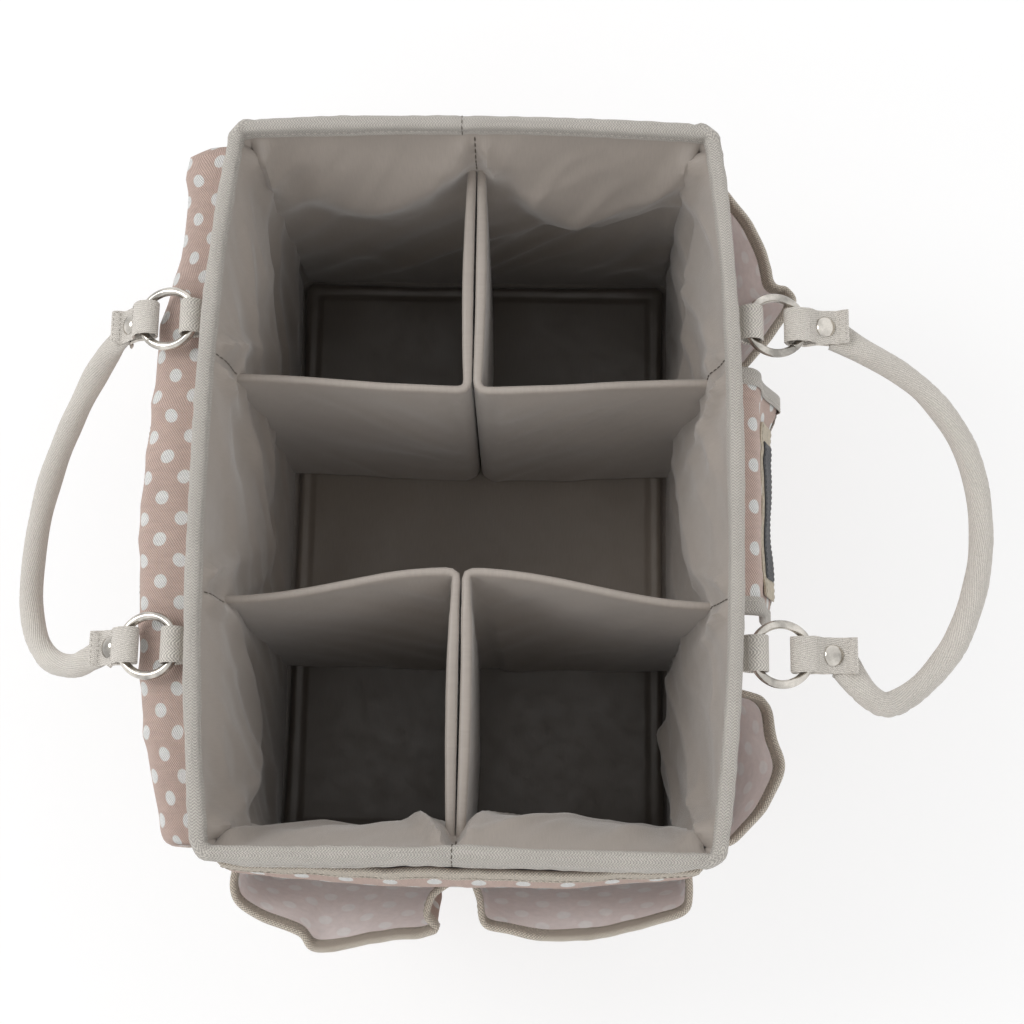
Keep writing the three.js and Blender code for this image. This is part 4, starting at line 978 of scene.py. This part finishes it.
# A pocket panel as a grid of face points. plan is its edge seen from above in millimetres (place
# along the wall, distance out), levels are (height in millimetres, share of that distance).
def panel_grid(wall, plan, levels, ground, wrinkle, seed, count=110, rows=48, wave=0.07):
    line = rounded_line(np.array(plan) / 1000, count)
    deep = np.max(line[:, 1])
    heights, share = rounded_line(np.array(levels, float) * (0.001, deep), rows).T
    share = share / deep
    foot = heights[0]
    run = run_length(line)
    drop = run_length(np.column_stack([heights, share * deep]))
    along, out = line.T
    way = across_line(line)
    way = -way if np.sum(way[:, 1]) < 0 else way
    ends = ramp(np.minimum(run, run[-1] - run), 0.012)
    half = count // 2
    # Low down, where the pocket is pressed together, no fold runs back under another
    pressed_flat = np.concatenate([np.minimum.accumulate(along[:half][::-1])[::-1],
                                   np.maximum.accumulate(along[half:])])
    grid = []
    for z, s in zip(heights, share):
        soft = ripples(run, z, wave, seed) + 1.2 * creases(run + 0.3 * z, 0.5 * z, 0.7 * wave, seed + 1)
        soft = wrinkle * soft * ends * ramp(z - foot, 0.03)
        a = pressed_flat + (along - pressed_flat) * ramp(s - 0.2, 0.7) + way[:, 0] * soft
        o = ground(along, z) + face_gap + np.maximum(out * s + way[:, 1] * soft, 0)
        grid.append(on_wall(wall, a, o, z))
    grid, uv = grid_of(grid), cloth_uv(run, drop)
    if np.sum(surface_normals(grid) @ np.array(wall_outward[wall])) < 0:
        grid, uv = grid[::-1], uv[::-1]
    pressed = pocket_cloth * np.clip(0.2 + 1.6 * share, 0.2, 1)
    return grid, uv, grid - surface_normals(grid) * pressed[None, :, None]


# Tape folded over an edge of cloth: a soft U in section, with a raised selvedge on each leg, and a
# row of stitches along each leg
def bound_edge(name, edge, normal, into, width, finish, body, thread, slot, node, over=pocket_cloth):
    thick = 0.0009
    run = run_length(edge)
    half = over / 2 + 0.0002
    leg = [(-half - 0.75 * thick, width), (-half - thick, width - 0.0006),
           (-half - 0.9 * thick, 0.66 * width), (-half - thick, 0.4 * width),
           (-half - 1.05 * thick, 0.0004)]
    turn = [(-(half + 1.05 * thick) * math.cos(a), 0.0004 - (0.0008 + thick) * math.sin(a))
            for a in np.linspace(0, math.pi, 9)[1:-1]]
    section = leg + turn + [(-n, s) for n, s in leg[::-1]]
    wave = 0.00022 * ripples(run, 0 * run, 0.02, len(name))
    face = np.stack([edge + normal * (n + wave)[:, None] + into * (s + 0.5 * wave)[:, None]
                     for n, s in section], axis=1)
    uv = cloth_uv(run, run_length(np.array(section)))
    middle = len(edge) // 2
    if surface_normals(face)[middle, 2] @ normal[middle] > 0:
        face, uv = face[::-1], uv[::-1]
    binding = cloth_piece(name, face, 0.7 * thick, uv, [finish])
    fasten(binding, body, slot, node)
    rows = [(edge + normal * (sign * (half + 0.93 * thick)) + into * (0.72 * width), normal * sign)
            for sign in (-1, 1)]
    return binding, stitch_rows(name + '_stitches', rows, thread, body, slot, 0.0024, 0.0011, 0.0005)


# The taupe tape on one edge of a pocket's cloth, from that column of its grid towards another
def taped_edge(name, grid, column, beside):
    normal = surface_normals(grid)[:, column]
    into = unit(grid[:, beside] - grid[:, column])
    return bound_edge(name + '_binding', grid[:, column] - normal * pocket_cloth / 2, normal, into, 0.0075,
                      twill_tape, 'tote', taupe_thread, 'twill_tape', name + '_tape')


def flat_plane(along, z):
    return 0 * along


def pocket_piece(name, wall, plan, levels, ground=flat_plane, wrinkle=0.0004, seed=1, bound=True,
                 count=110):
    grid, uv, back = panel_grid(wall, plan, levels, ground, wrinkle, seed, count)
    panel = cloth_piece(name + '_cloth', grid, pocket_cloth, uv, dotted_cloth, back=back)
    fasten(panel, 'tote', 'dotted_twill', name + '_pocket')
    taped_edge(name, grid, -1, -4) if bound else ()


def slip_out(x):
    return 0.005 + 0.007 * (1 - (x / 0.127) ** 2)


slip_mouth = 0.2278


def slip_face(x, z):
    return 0.00045 + (slip_out(x) - face_gap) * (0.35 + 0.65 * (z - 0.008) / (slip_mouth - 0.008))


slip_plan = [(x, 0 if abs(x) == 127 else (slip_out(x / 1000) - face_gap) * 1000)
             for x in (-127, -123, -105, -89, -67, -44, -22, -4, 4, 22, 44, 67, 89, 105, 123, 127)]
pocket_piece('front_slip', 'front', slip_plan,
             [(8, 0.35), (100, 0.63), (160, 0.8), (186, 0.95), (203, 1.32), (216, 1.15), (227.8, 0.58)],
             wrinkle=0.00035, seed=61)
bellows_levels = [(8, 0.08), (99.4, 0.1), (121.3, 0.18), (154.2, 0.52), (182.6, 0.892), (190.8, 1)]
pocket_piece(
    'front_left', 'front',
    [(-124, 0), (-124, 11), (-120, 20), (-107, 27), (-87, 33), (-76, 40), (-45, 34), (-14, 29),
     (-18.5, 20), (-15.5, 10), (-7, 3.5), (-3, 0)],
    bellows_levels, ground=slip_face, wrinkle=0.0005, seed=64)
pocket_piece(
    'front_right', 'front',
    [(5, 0), (9, 11), (12, 24), (27, 28), (49, 31), (80, 30), (107, 24), (121, 20), (124, 12), (124, 0)],
    bellows_levels, ground=slip_face, wrinkle=0.0005, seed=67)

# Right side pockets: two open ones with bound mouths, sewn to the wall at the back and at the
# front, and a plain flat one between them, under the flap.
side_levels = [(8, 0.08), (101.9, 0.1), (120.7, 0.18), (156.4, 0.52), (187.3, 0.897), (195.8, 1)]
pocket_piece(
    'right_back', 'right',
    [(70, 0), (78, 13.4), (98, 29.6), (116, 43), (125, 40), (129, 32.4), (148, 28.5), (163, 22),
     (177, 14.3), (188, 6.6), (190, 0)],
    side_levels, seed=71)
pocket_piece(
    'right_front', 'right',
    [(-191, 0), (-191, 8.3), (-181, 18.8), (-165, 29.3), (-150, 34), (-134, 29.3), (-119, 25.5),
     (-112, 18.8), (-109, 9.3), (-108, 0)],
    side_levels, seed=74)
pocket_piece(
    'right_middle', 'right',
    [(-60, 0), (-61, 5.8), (-54, 11), (-28, 13.3), (2, 14), (32, 13.3), (58, 11), (65, 5.8), (64, 0)],
    [(8, 0.1), (12, 0.45), (78, 0.95), (198.8, 1)], seed=77, bound=False)

# Right flap: dotted twill, hung from a seam under the rim and bound on its three free edges. It
# covers the middle pocket. A cream woven strip is sewn on its face, and a dark patch on that.
flap_seam = np.array([0.1477, 0.002, 0.2228])
flap_cloth = 0.0014
flap_half, flap_round = 0.066, 0.012
flap_section = rounded_line([(-0.0008, 0.0007), (0.0055, -0.0006), (0.0105, -0.0028), (0.0136, -0.0075),
                             (0.015, -0.0135), (0.0164, -0.0285), (0.0209, -0.0434), (0.025, -0.0565),
                             (0.0255, -0.064), (0.0253, -0.072)], 90)
flap_run = run_length(flap_section)


def flap_face(across, down, out=0.0):
    across = across - 0.005 * ramp(-across - 0.056, 0.01)
    spread_out = ramp(down, 0.02)
    wave = 0.0007 * ripples(across, down, 0.06, 81) + 0.0006 * creases(across, 0.4 * down, 0.05, 82)
    flare = 0.009 * hump(across - flap_half, 0.018) * (down / flap_run[-1]) ** 2
    x = np.interp(down, flap_run, flap_section[:, 0]) + wave * spread_out + flare + out
    z = np.interp(down, flap_run, flap_section[:, 1]) + out * 0.4 * (1 - spread_out)
    return flap_seam + np.stack([x, across + 0 * x, z], axis=-1)


def flap_normals(across, down):
    step = 0.0004
    side_way = flap_face(across + step, down) - flap_face(across - step, down)
    down_way = flap_face(across, down + step) - flap_face(across, np.maximum(down - step, 0))
    return unit(np.cross(down_way, side_way))


turn = np.linspace(0, math.pi / 2, 9)
corner_in, corner_up = flap_round * (1 - np.cos(turn)), flap_round * (1 - np.sin(turn))
middle = np.linspace(-flap_half + flap_round, flap_half - flap_round, 44)[1:-1]
across = np.concatenate([-flap_half + corner_in, middle, (flap_half - corner_in)[::-1]])
missing = np.concatenate([corner_up, 0 * middle, corner_up[::-1]])
down = np.linspace(0, 1, 44)[None, :] * (flap_run[-1] - missing)[:, None]
uv = np.stack([across[:, None] + 0 * down, down], axis=2)
grid = flap_face(uv[..., 0], uv[..., 1])
if np.sum(surface_normals(grid)[..., 0]) < 0:
    grid, uv = grid[::-1], uv[::-1]
flap_panel = cloth_piece('right_flap_cloth', grid, flap_cloth, uv, dotted_cloth)
fasten(flap_panel, 'flap', 'dotted_twill', 'right_flap')
normal = flap_normals(uv[..., 0], uv[..., 1])
route, facing = (np.concatenate([g[0, 2:], g[1:, -1], g[-1, 1:-1][::-1]]) for g in (grid, normal))
run = run_length(route)
at = np.linspace(0, run[-1], 190)
route, facing = at_places(at, run, route), at_places(at, run, facing)
into = unit(np.cross(facing, np.gradient(route, axis=0)))
into = -into if into[len(at) // 2, 2] < 0 else into
bound = bound_edge('right_flap_binding', route - facing * flap_cloth / 2, facing, into, 0.009, herringbone,
                   'flap', pale_thread, 'grey_webbing', 'right_flap_tape', over=flap_cloth)

cream = (0.56, 0.49, 0.38)
cream_strip, tree, shader = new_finish('cream_strip', cream, 0.85, {'Sheen Weight': 0.15})
uv = cloth_place(tree)
weave = plain_weave(tree, uv, 0.0008)
fuzz = speckle(tree, uv, 260.0, 4.0)
slub = speckle(tree, uv, 900.0, 2.0, (0.15, 1, 1))
tint(tree, shader, cream, (weave, 0.0, 1.0, 0.8, 1.05), (fuzz, 0.3, 0.7, 0.9, 1.08),
     (slub, 0.35, 0.65, 0.93, 1.05))
add_bump(tree, shader, weave, 0.0002)
charcoal = (0.035, 0.036, 0.042)
dark_patch, tree, shader = new_finish('dark_patch', charcoal, 0.6, {'Sheen Weight': 0.1})
uv = cloth_place(tree)
weave = twill_weave(tree, uv, 0.0007)
worn = speckle(tree, uv, 120.0, 5.0)
tint(tree, shader, charcoal, (weave, 0.0, 1.0, 0.7, 1.25), (worn, 0.35, 0.75, 0.85, 1.3))
roughen(tree, shader, worn, 0.3, 0.7, 0.5, 0.68)
add_bump(tree, shader, weave, 0.00015)


# A strip on the flap's face: a rounded rectangle of the given length and height, raised off the
# flap and curled up at one end, with a row of stitches along each long edge. margin and stitch are
# how far the rows stop from the ends, in points of the grid, and the stitches' length, gap and width.
def flap_strip(name, long, tall, raised, thickness, finish, slot, radius, curl, thread, margin, stitch):
    turn = np.linspace(0, math.pi / 2, 6)
    inset, cut = radius * (1 - np.sin(turn)), radius * (1 - np.cos(turn))
    straight_part = np.linspace(-long / 2 + radius, long / 2 - radius, 36)[1:-1]
    along = np.concatenate([-long / 2 + cut, straight_part, (long / 2 - cut)[::-1]])[:, None]
    short = np.concatenate([inset, 0 * straight_part, inset[::-1]])[:, None]
    v = np.linspace(-1, 1, 15) * (tall / 2 - short)
    edge = np.minimum(tall / 2 - np.abs(v), long / 2 - np.abs(along))
    lift = raised + thickness - 0.0004 * np.exp(-edge / 0.0006) + 0.00018 * ripples(along, v, 0.02, 85)
    lift = lift + curl * np.clip(0.5 - along / long - 0.85, 0, 1) * 6
    grid = flap_face(strip_middle[0] + along + 0 * v, strip_middle[1] - v, lift)
    strip = cloth_piece(name + '_cloth', grid, thickness, np.stack([along + 0 * v, v], axis=2), [finish])
    fasten(strip, 'flap', slot, name)
    normal = surface_normals(grid)
    rows = [(grid[margin:-margin, k], normal[margin:-margin, k]) for k in (1, -2)]
    stitches = stitch_rows(name.split('_')[-1] + '_stitches', rows, thread, 'flap', slot, *stitch)


strip_middle = (-0.006, flap_run[-1] - 0.0285)
flap_strip('right_label', 0.101, 0.027, 0.0004, 0.0012, cream_strip, 'cream_label', 0.002, 0.001,
           thread_finish('cream_thread', (0.55, 0.48, 0.38)), 3, (0.0026, 0.001, 0.0005))
flap_strip('right_label_patch', 0.08, 0.017, 0.0019, 0.0008, dark_patch, 'dark_patch', 0.001, 0.0,
           thread_finish('charcoal_thread', (0.05, 0.05, 0.056)), 2, (0.0022, 0.0009, 0.0004))

# Left side: a long plain pocket on the wall, and over it a cover of dotted twill with boxed ends.
# The cover hangs from a seam under the rim; its hem is bound with the taupe tape.
pocket_piece(
    'left', 'left',
    [(-186, 0), (-187, 9.3), (-178, 17), (-130, 21.7), (-60, 25.4), (0, 26.5), (60, 25.4), (130, 21.7),
     (178, 17), (187, 9.3), (186, 0)],
    [(8, 0.08), (12, 0.4), (67.9, 1.05), (141.8, 1.2), (191.8, 1)], seed=88, bound=False,
    count=150)
cover_plan = [(-195, 0), (-197, 12), (-194, 23.6), (-176, 26.6), (-138, 31.2), (-112, 34.2), (-66, 36.9),
              (-20, 38), (20, 38), (60, 36.1), (90, 34.2), (115, 29.3), (140, 26.6), (170, 25.5),
              (195, 26), (197, 13), (195, 0)]
cover_levels = [(160.8, 1.3), (184.8, 1.08), (202.8, 1), (212.8, 0.93), (217.8, 0.78), (220.6, 0.5),
                (221.8, 0.1)]


# At the back end the box corner is stuffed out to a point just under the seam
def cover_ear(along, z):
    near = ramp(along - 0.125, 0.06) * ramp(0.1962 - along, 0.002)
    return near * ramp(z - 0.2, 0.016) ** 1.5 * ramp(0.2219 - z, 0.0016) * 0.0055


grid, uv, _ = panel_grid('left', cover_plan, cover_levels, cover_ear, 0.0013, 91, 200, 44, 0.12)
cover = cloth_piece('left_cover_cloth', grid, pocket_cloth, uv, dotted_cloth)
fasten(cover, 'tote', 'dotted_twill', 'left_cover')
taped_edge('left_cover', grid, 0, 3)

# Handle fittings: a tab of pale herringbone webbing is sewn to the wall under the rim at each end
# of a handle. It folds round a ring of bright nickel wire, which is butted, not welded.
tab_out, tab_along, tab_up = 0.156176, 0.092, 0.2288
ring_out, ring_mean, ring_wire = 0.01393, 0.0161, 0.0024
ring_tilts = {'left': 12, 'right': 8}
webbing_thick = 0.0014
webbing_light = (0.66, 0.62, 0.565)
tab_webbing = webbing_finish('tab_webbing', webbing_light, 0.0033, 0.0019, 1.0, 0.6, 1.15)
ribbed_webbing = webbing_finish('ribbed_webbing', webbing_light, 0.1, 0.0012, 0.22, 0.8, 1.1)

bright_nickel = (0.56, 0.53, 0.485)
nickel, tree, shader = new_finish('nickel', bright_nickel, 0.14, {'Metallic': 1.0})
place = object_place(tree)
# Smudges on the plating; the strong dark and light patches they give the colour are painted reflection
smudge_and_reflection = speckle(tree, place, 90.0, 4.0)
tint(tree, shader, bright_nickel, (smudge_and_reflection, 0.35, 0.65, 0.55, 1.3))
roughen(tree, shader, smudge_and_reflection, 0.35, 0.7, 0.07, 0.2)
add_bump(tree, shader, speckle(tree, place, 900.0, 3.0, (1, 1, 0.12)), 0.000006)


# A place on one side of the tote, turned about the Y axis: out from the wall, along it, and up
def hung(side, centre, tilt):
    sign, a = (-1 if side == 'left' else 1), math.radians(tilt)

    def place(u, v, w):
        out = centre[0] + u * math.cos(a) + w * math.sin(a)
        return np.stack([sign * out, centre[1] + v, centre[2] - u * math.sin(a) + w * math.cos(a)], axis=-1)
    return place


# Flat webbing along a line (out, up) in millimetres that follows its outer face, with rows of
# stitches through it: each goes from one (place along, place across) to another, 0 to 1
def webbing_strip(name, line, wide, place, body, finish, count, rows_on):
    line = rounded_line(np.array(line) / 1000, count)
    v = wide / 2 * np.sin(np.linspace(-1, 1, 13) * math.pi / 2 * 0.94) / math.sin(math.pi / 2 * 0.94)
    u, w = line[:, :1] + 0 * v, line[:, 1:] + 0 * v
    run = run_length(line)
    grid = place(u, v + 0 * u + 0.00015 * ripples(run, 0 * run, 0.01, len(name))[:, None], w)
    uv = np.stack([run[:, None] + 0 * v, v + 0 * u], axis=2)
    tip = np.argmin(line[:, 0]) if body.endswith('handle') else np.argmax(line[:, 0])
    way = grid[tip, 6] - place(np.zeros(1), np.zeros(1), np.zeros(1))[0]
    if np.sum(surface_normals(grid)[tip, 6] * way) < 0:
        grid, uv = grid[:, ::-1], uv[:, ::-1]
    normal = surface_normals(grid)
    grid[:, [0, -1]] -= normal[:, [0, -1]] * 0.0004
    strip = cloth_piece(name, grid, webbing_thick, uv, [finish])
    fasten(strip, body, 'grey_webbing')
    normal = surface_normals(grid)
    size = np.array(grid.shape[:2]) - 1
    lines = []
    for start, end in rows_on(run[-1]):
        at = np.linspace(start, end, 40) * size
        i, j = np.minimum(at.astype(int), size - 1).T
        fi, fj = (at - np.column_stack([i, j])).T[:, :, None]
        lines.append([(1 - fi) * (1 - fj) * g[i, j] + fi * (1 - fj) * g[i + 1, j]
                      + (1 - fi) * fj * g[i, j + 1] + fi * fj * g[i + 1, j + 1] for g in (grid, normal)])
    stitched = stitch_rows(name.replace('tab_strip', 'tab') + '_stitches', lines, pale_thread, body,
                           'grey_webbing', 0.0021, 0.0008, 0.0006)
    return strip, stitched


def round_section(centre_line, side_way, up_way, half_wide, half_high, around=24, square=2.0):
    a = np.linspace(0, 2 * math.pi, around, endpoint=False)
    c, s = np.cos(a), np.sin(a)
    c, s = np.sign(c) * np.abs(c) ** (2 / square), np.sign(s) * np.abs(s) ** (2 / square)
    return (centre_line[:, None] + side_way[:, None] * (c * half_wide[:, None])[..., None]
            + up_way[:, None] * (s * half_high[:, None])[..., None])


def tube_faces(rows, around, closed, turned_over):
    faces = []
    for i in range(rows if closed else rows - 1):
        for k in range(around):
            a, b = i * around + k, i * around + (k + 1) % around
            c, d = (i + 1) % rows * around + (k + 1) % around, (i + 1) % rows * around + k
            faces.append((a, d, c, b))
    if not closed:
        faces += [tuple(range(around)), tuple(range(rows * around - 1, (rows - 1) * around - 1, -1))]
    return [face[::-1] for face in faces] if turned_over else faces


loop_outer = 6.67
loop = [(loop_outer * math.cos(a), loop_outer * math.sin(a)) for a in np.radians(np.arange(150, -151, -15))]
tab_upper = [(-8.7, 5.5), (-8.65, 4.1), (-8.35, 2.8), (-7.5, 2.05), (-6.6, 2.4)]
tab_line = tab_upper + loop + [(u, -w) for u, w in tab_upper[::-1][:-1]] + [(-8.7, -4.4)]


# The tab is sewn down in a box of stitches, up to the neck where it opens round the ring
def tab_rows(length):
    neck = 0.0082 / length
    return [((neck, 0.08), (neck, 0.92)), ((1 - neck, 0.08), (1 - neck, 0.92)), ((0.02, 0.1), (neck, 0.1)),
            ((0.02, 0.9), (neck, 0.9))]


full_turn = 2 * math.pi
for side in ('left', 'right'):
    for end, facing in (('back', 1), ('front', -1)):
        at = (tab_out, facing * tab_along, tab_up)
        name = side + '_' + end
        tab, stitched = webbing_strip(name + '_tab_strip', tab_line, 0.0196, hung(side, at, 0), 'tote',
                                      tab_webbing, 120, tab_rows)
        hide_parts(name + '_tab')
        join = math.radians(-50 if facing > 0 else 35) % full_turn
        turns = np.sort(np.concatenate([np.linspace(0, full_turn, 96, endpoint=False),
                                        np.array([-0.016, -0.012, 0.012, 0.016]) + join]))
        wire = ring_wire * (1 - 0.16 * hump(turns - join, 0.012))
        out_way = np.column_stack([np.cos(turns), np.sin(turns), 0 * turns])
        ring = round_section(out_way * ring_mean + (ring_out, 0, 0), out_way,
                             np.tile([0.0, 0, 1], (len(turns), 1)), wire, wire, 20)
        points = hung(side, at, ring_tilts[side])(*np.moveaxis(ring, -1, 0)).reshape(-1, 3)
        wire_ring = mesh_piece(name + '_wire', points, tube_faces(len(turns), 20, True, side == 'right'),
                               None, [nickel], sharp=80)
        fasten(wire_ring, name + '_ring_body', 'nickel', name + '_ring')

# Handles: webbing sewn round a soft core. Each end is pressed flat, folded through its ring and
# back under a square tail, stitched, and held by a domed rivet.
handle_places = {'left': (0.183431, 0, 0.223007, 46.5), 'right': (0.183769, 0, 0.224922, 8)}
handle_reach = {'left': 0.114, 'right': 0.101}
handle_lines = {
    'left': [(0, 0.985), (0.162, 0.902), (0.388, 0.739), (0.624, 0.5), (0.817, 0.239), (0.946, -0.043),
             (1, -0.337), (0.989, -0.63), (0.871, -0.87), (0.656, -1.022), (0.366, -1.076),
             (0.162, -1.043), (0, -1)],
    'right': [(0, 0.955), (0.169, 0.875), (0.455, 0.743), (0.682, 0.583), (0.878, 0.34), (0.971, 0.095),
              (0.999, -0.151), (0.982, -0.396), (0.912, -0.64), (0.793, -0.882), (0.666, -1.036),
              (0.519, -1.166), (0.376, -1.25), (0.26, -1.275), (0.15, -1.22), (0.06, -1.13), (0, -1.055)]}
handle_start, handle_radius, around = 0.021, 0.0068, 32
end_half_wide, end_half_high = 0.0093, 0.0011
strap_upper = [(26, 7.1), (24.4, 6.7), (22.8, 5.6), (21.4, 3.9), (20, 2.6), (17.5, 2.25), (11, 2.25),
               (9, 2.7), (7.4, 3.8), (5.6, 5.0), (3.4, 6.0)]
strap_loop = [(1.35 * loop_outer * math.cos(a), loop_outer * math.sin(a))
              for a in np.radians(np.arange(105, 256, 15))]
strap_line = strap_upper + strap_loop + [(u, -w) for u, w in strap_upper[::-1]]
seam_thread = thread_finish('seam_thread', (0.50, 0.465, 0.42))

# A rivet from its domed head, through the strap, to the flat washer inside: radius and height
rivet_outline = [(0.0, 4.85), (0.8, 4.83), (1.8, 4.7), (2.9, 4.42), (4.0, 3.98), (4.9, 3.42), (5.45, 2.95),
                 (5.7, 2.6), (5.6, 2.38), (4.6, 2.3), (1.6, 2.3), (1.6, -2.3), (4.3, -2.35), (4.5, -2.6),
                 (4.2, -3.3), (3.2, -3.6), (1.2, -3.65), (0.9, -3.2), (0.0, -3.2)]
rivet_out, rivet_sides = 0.014, 40


# A strap's tail is sewn down in a box, with one more row by the handle; both ends alike
def strap_rows(length):
    tail, near, far = 0.0016 / length, 0.0055 / length, 0.0245 / length
    rows = [((tail, 0.1), (tail, 0.9)), ((near, 0.1), (near, 0.9)), ((tail, 0.1), (near, 0.1)),
            ((tail, 0.9), (near, 0.9)), ((far, 0.1), (far, 0.9))]
    return rows + [((1 - a[0], a[1]), (1 - b[0], b[1])) for a, b in rows]


for side in ('left', 'right'):
    x, y, z, tilt = handle_places[side]
    body = side + '_handle'
    reach = handle_reach[side] - handle_start
    line = [(handle_start + reach * u, tab_along * v) for u, v in handle_lines[side]]
    line = rounded_line([(0.018, line[0][1] + 0.001)] + line + [(0.018, line[-1][1] + 0.002)], 300)
    run = run_length(line)
    side_way = at_height(across_line(line), 0)
    full = eased(ramp(np.minimum(run, run[-1] - run), 0.026))
    uneven = 0.00022 * ripples(run, 0 * run, 0.03, len(side))
    half_wide = end_half_wide + (handle_radius - end_half_wide) * full + uneven
    half_high = end_half_high + (handle_radius - end_half_high) * full + uneven
    half_wide[[0, -1]] -= 0.0004
    centre, up_way = at_height(line, -0.0004 * (1 - full)), np.tile([0.0, 0, 1], (len(line), 1))
    tube = round_section(centre, side_way, up_way, half_wide, half_high, around)
    a = np.linspace(0, full_turn, around, endpoint=False)
    pinch = hump((a - full_turn / 4) % full_turn - full_turn / 2, 0.12)
    bend = np.gradient(np.unwrap(np.arctan2(side_way[:, 1], side_way[:, 0])), run)[:, None]
    inside = np.clip(-np.sign(bend) * np.cos(a), 0, 1) * np.clip(np.abs(bend) * 0.05, 0, 1.2)
    fold = 0.0005 * creases(run[:, None] + 0 * a, 0.004 * np.cos(a) + 0 * run[:, None], 0.012, 101) * inside
    sunk = (0.05 * pinch + fold / handle_radius) * full[:, None]
    tube -= (tube - centre[:, None]) * sunk[..., None]
    place = hung(side, (x, y, z), tilt)
    faces = tube_faces(len(line), around, False, side == 'left')
    uvs = []
    for f in faces:
        rows, cols = [i // around for i in f], [i % around for i in f]
        wrapped = max(cols) - min(cols) > around / 2 and len(f) == 4
        uvs += [(run[r], (c + (around if wrapped and c == 0 else 0)) * full_turn * handle_radius / around)
                for r, c in zip(rows, cols)]
    grip = mesh_piece(side + '_grip', place(*np.moveaxis(tube, -1, 0)).reshape(-1, 3), faces, uvs,
                      [ribbed_webbing], sharp=60)
    fasten(grip, body, 'grey_webbing', side + '_handle_sleeve', side + '_handle_core')
    seam = tube[10:-10, 3 * around // 4]
    seam_line = place(seam[:, 0], seam[:, 1], seam[:, 2] - 0.0002)
    below = place(seam[:, 0], seam[:, 1], seam[:, 2] - 0.001) - seam_line
    stitch_rows(side + '_grip_seam', [(seam_line, below)], seam_thread, body, 'grey_webbing', 0.003, 0.001,
                0.0006)
    for end, facing in (('back', 1), ('front', -1)):
        name = side + '_' + end
        place = hung(side, (x, facing * tab_along, z), tilt)
        strap, stitched = webbing_strip(name + '_strap', strap_line, 0.0194, place, body, ribbed_webbing,
                                        150, strap_rows)
        turns = np.linspace(0, full_turn, rivet_sides, endpoint=False)
        r, w = np.array(rivet_outline).T[:, :, None] / 1000
        points = place(rivet_out + r * np.cos(turns), r * np.sin(turns), w + 0 * turns).reshape(-1, 3)
        faces = tube_faces(len(rivet_outline), rivet_sides, False, side == 'right')[:-2]
        rivet = mesh_piece(name + '_stud', points, faces, None, [nickel], sharp=40)
        fasten(rivet, body, 'nickel', name + '_rivet')
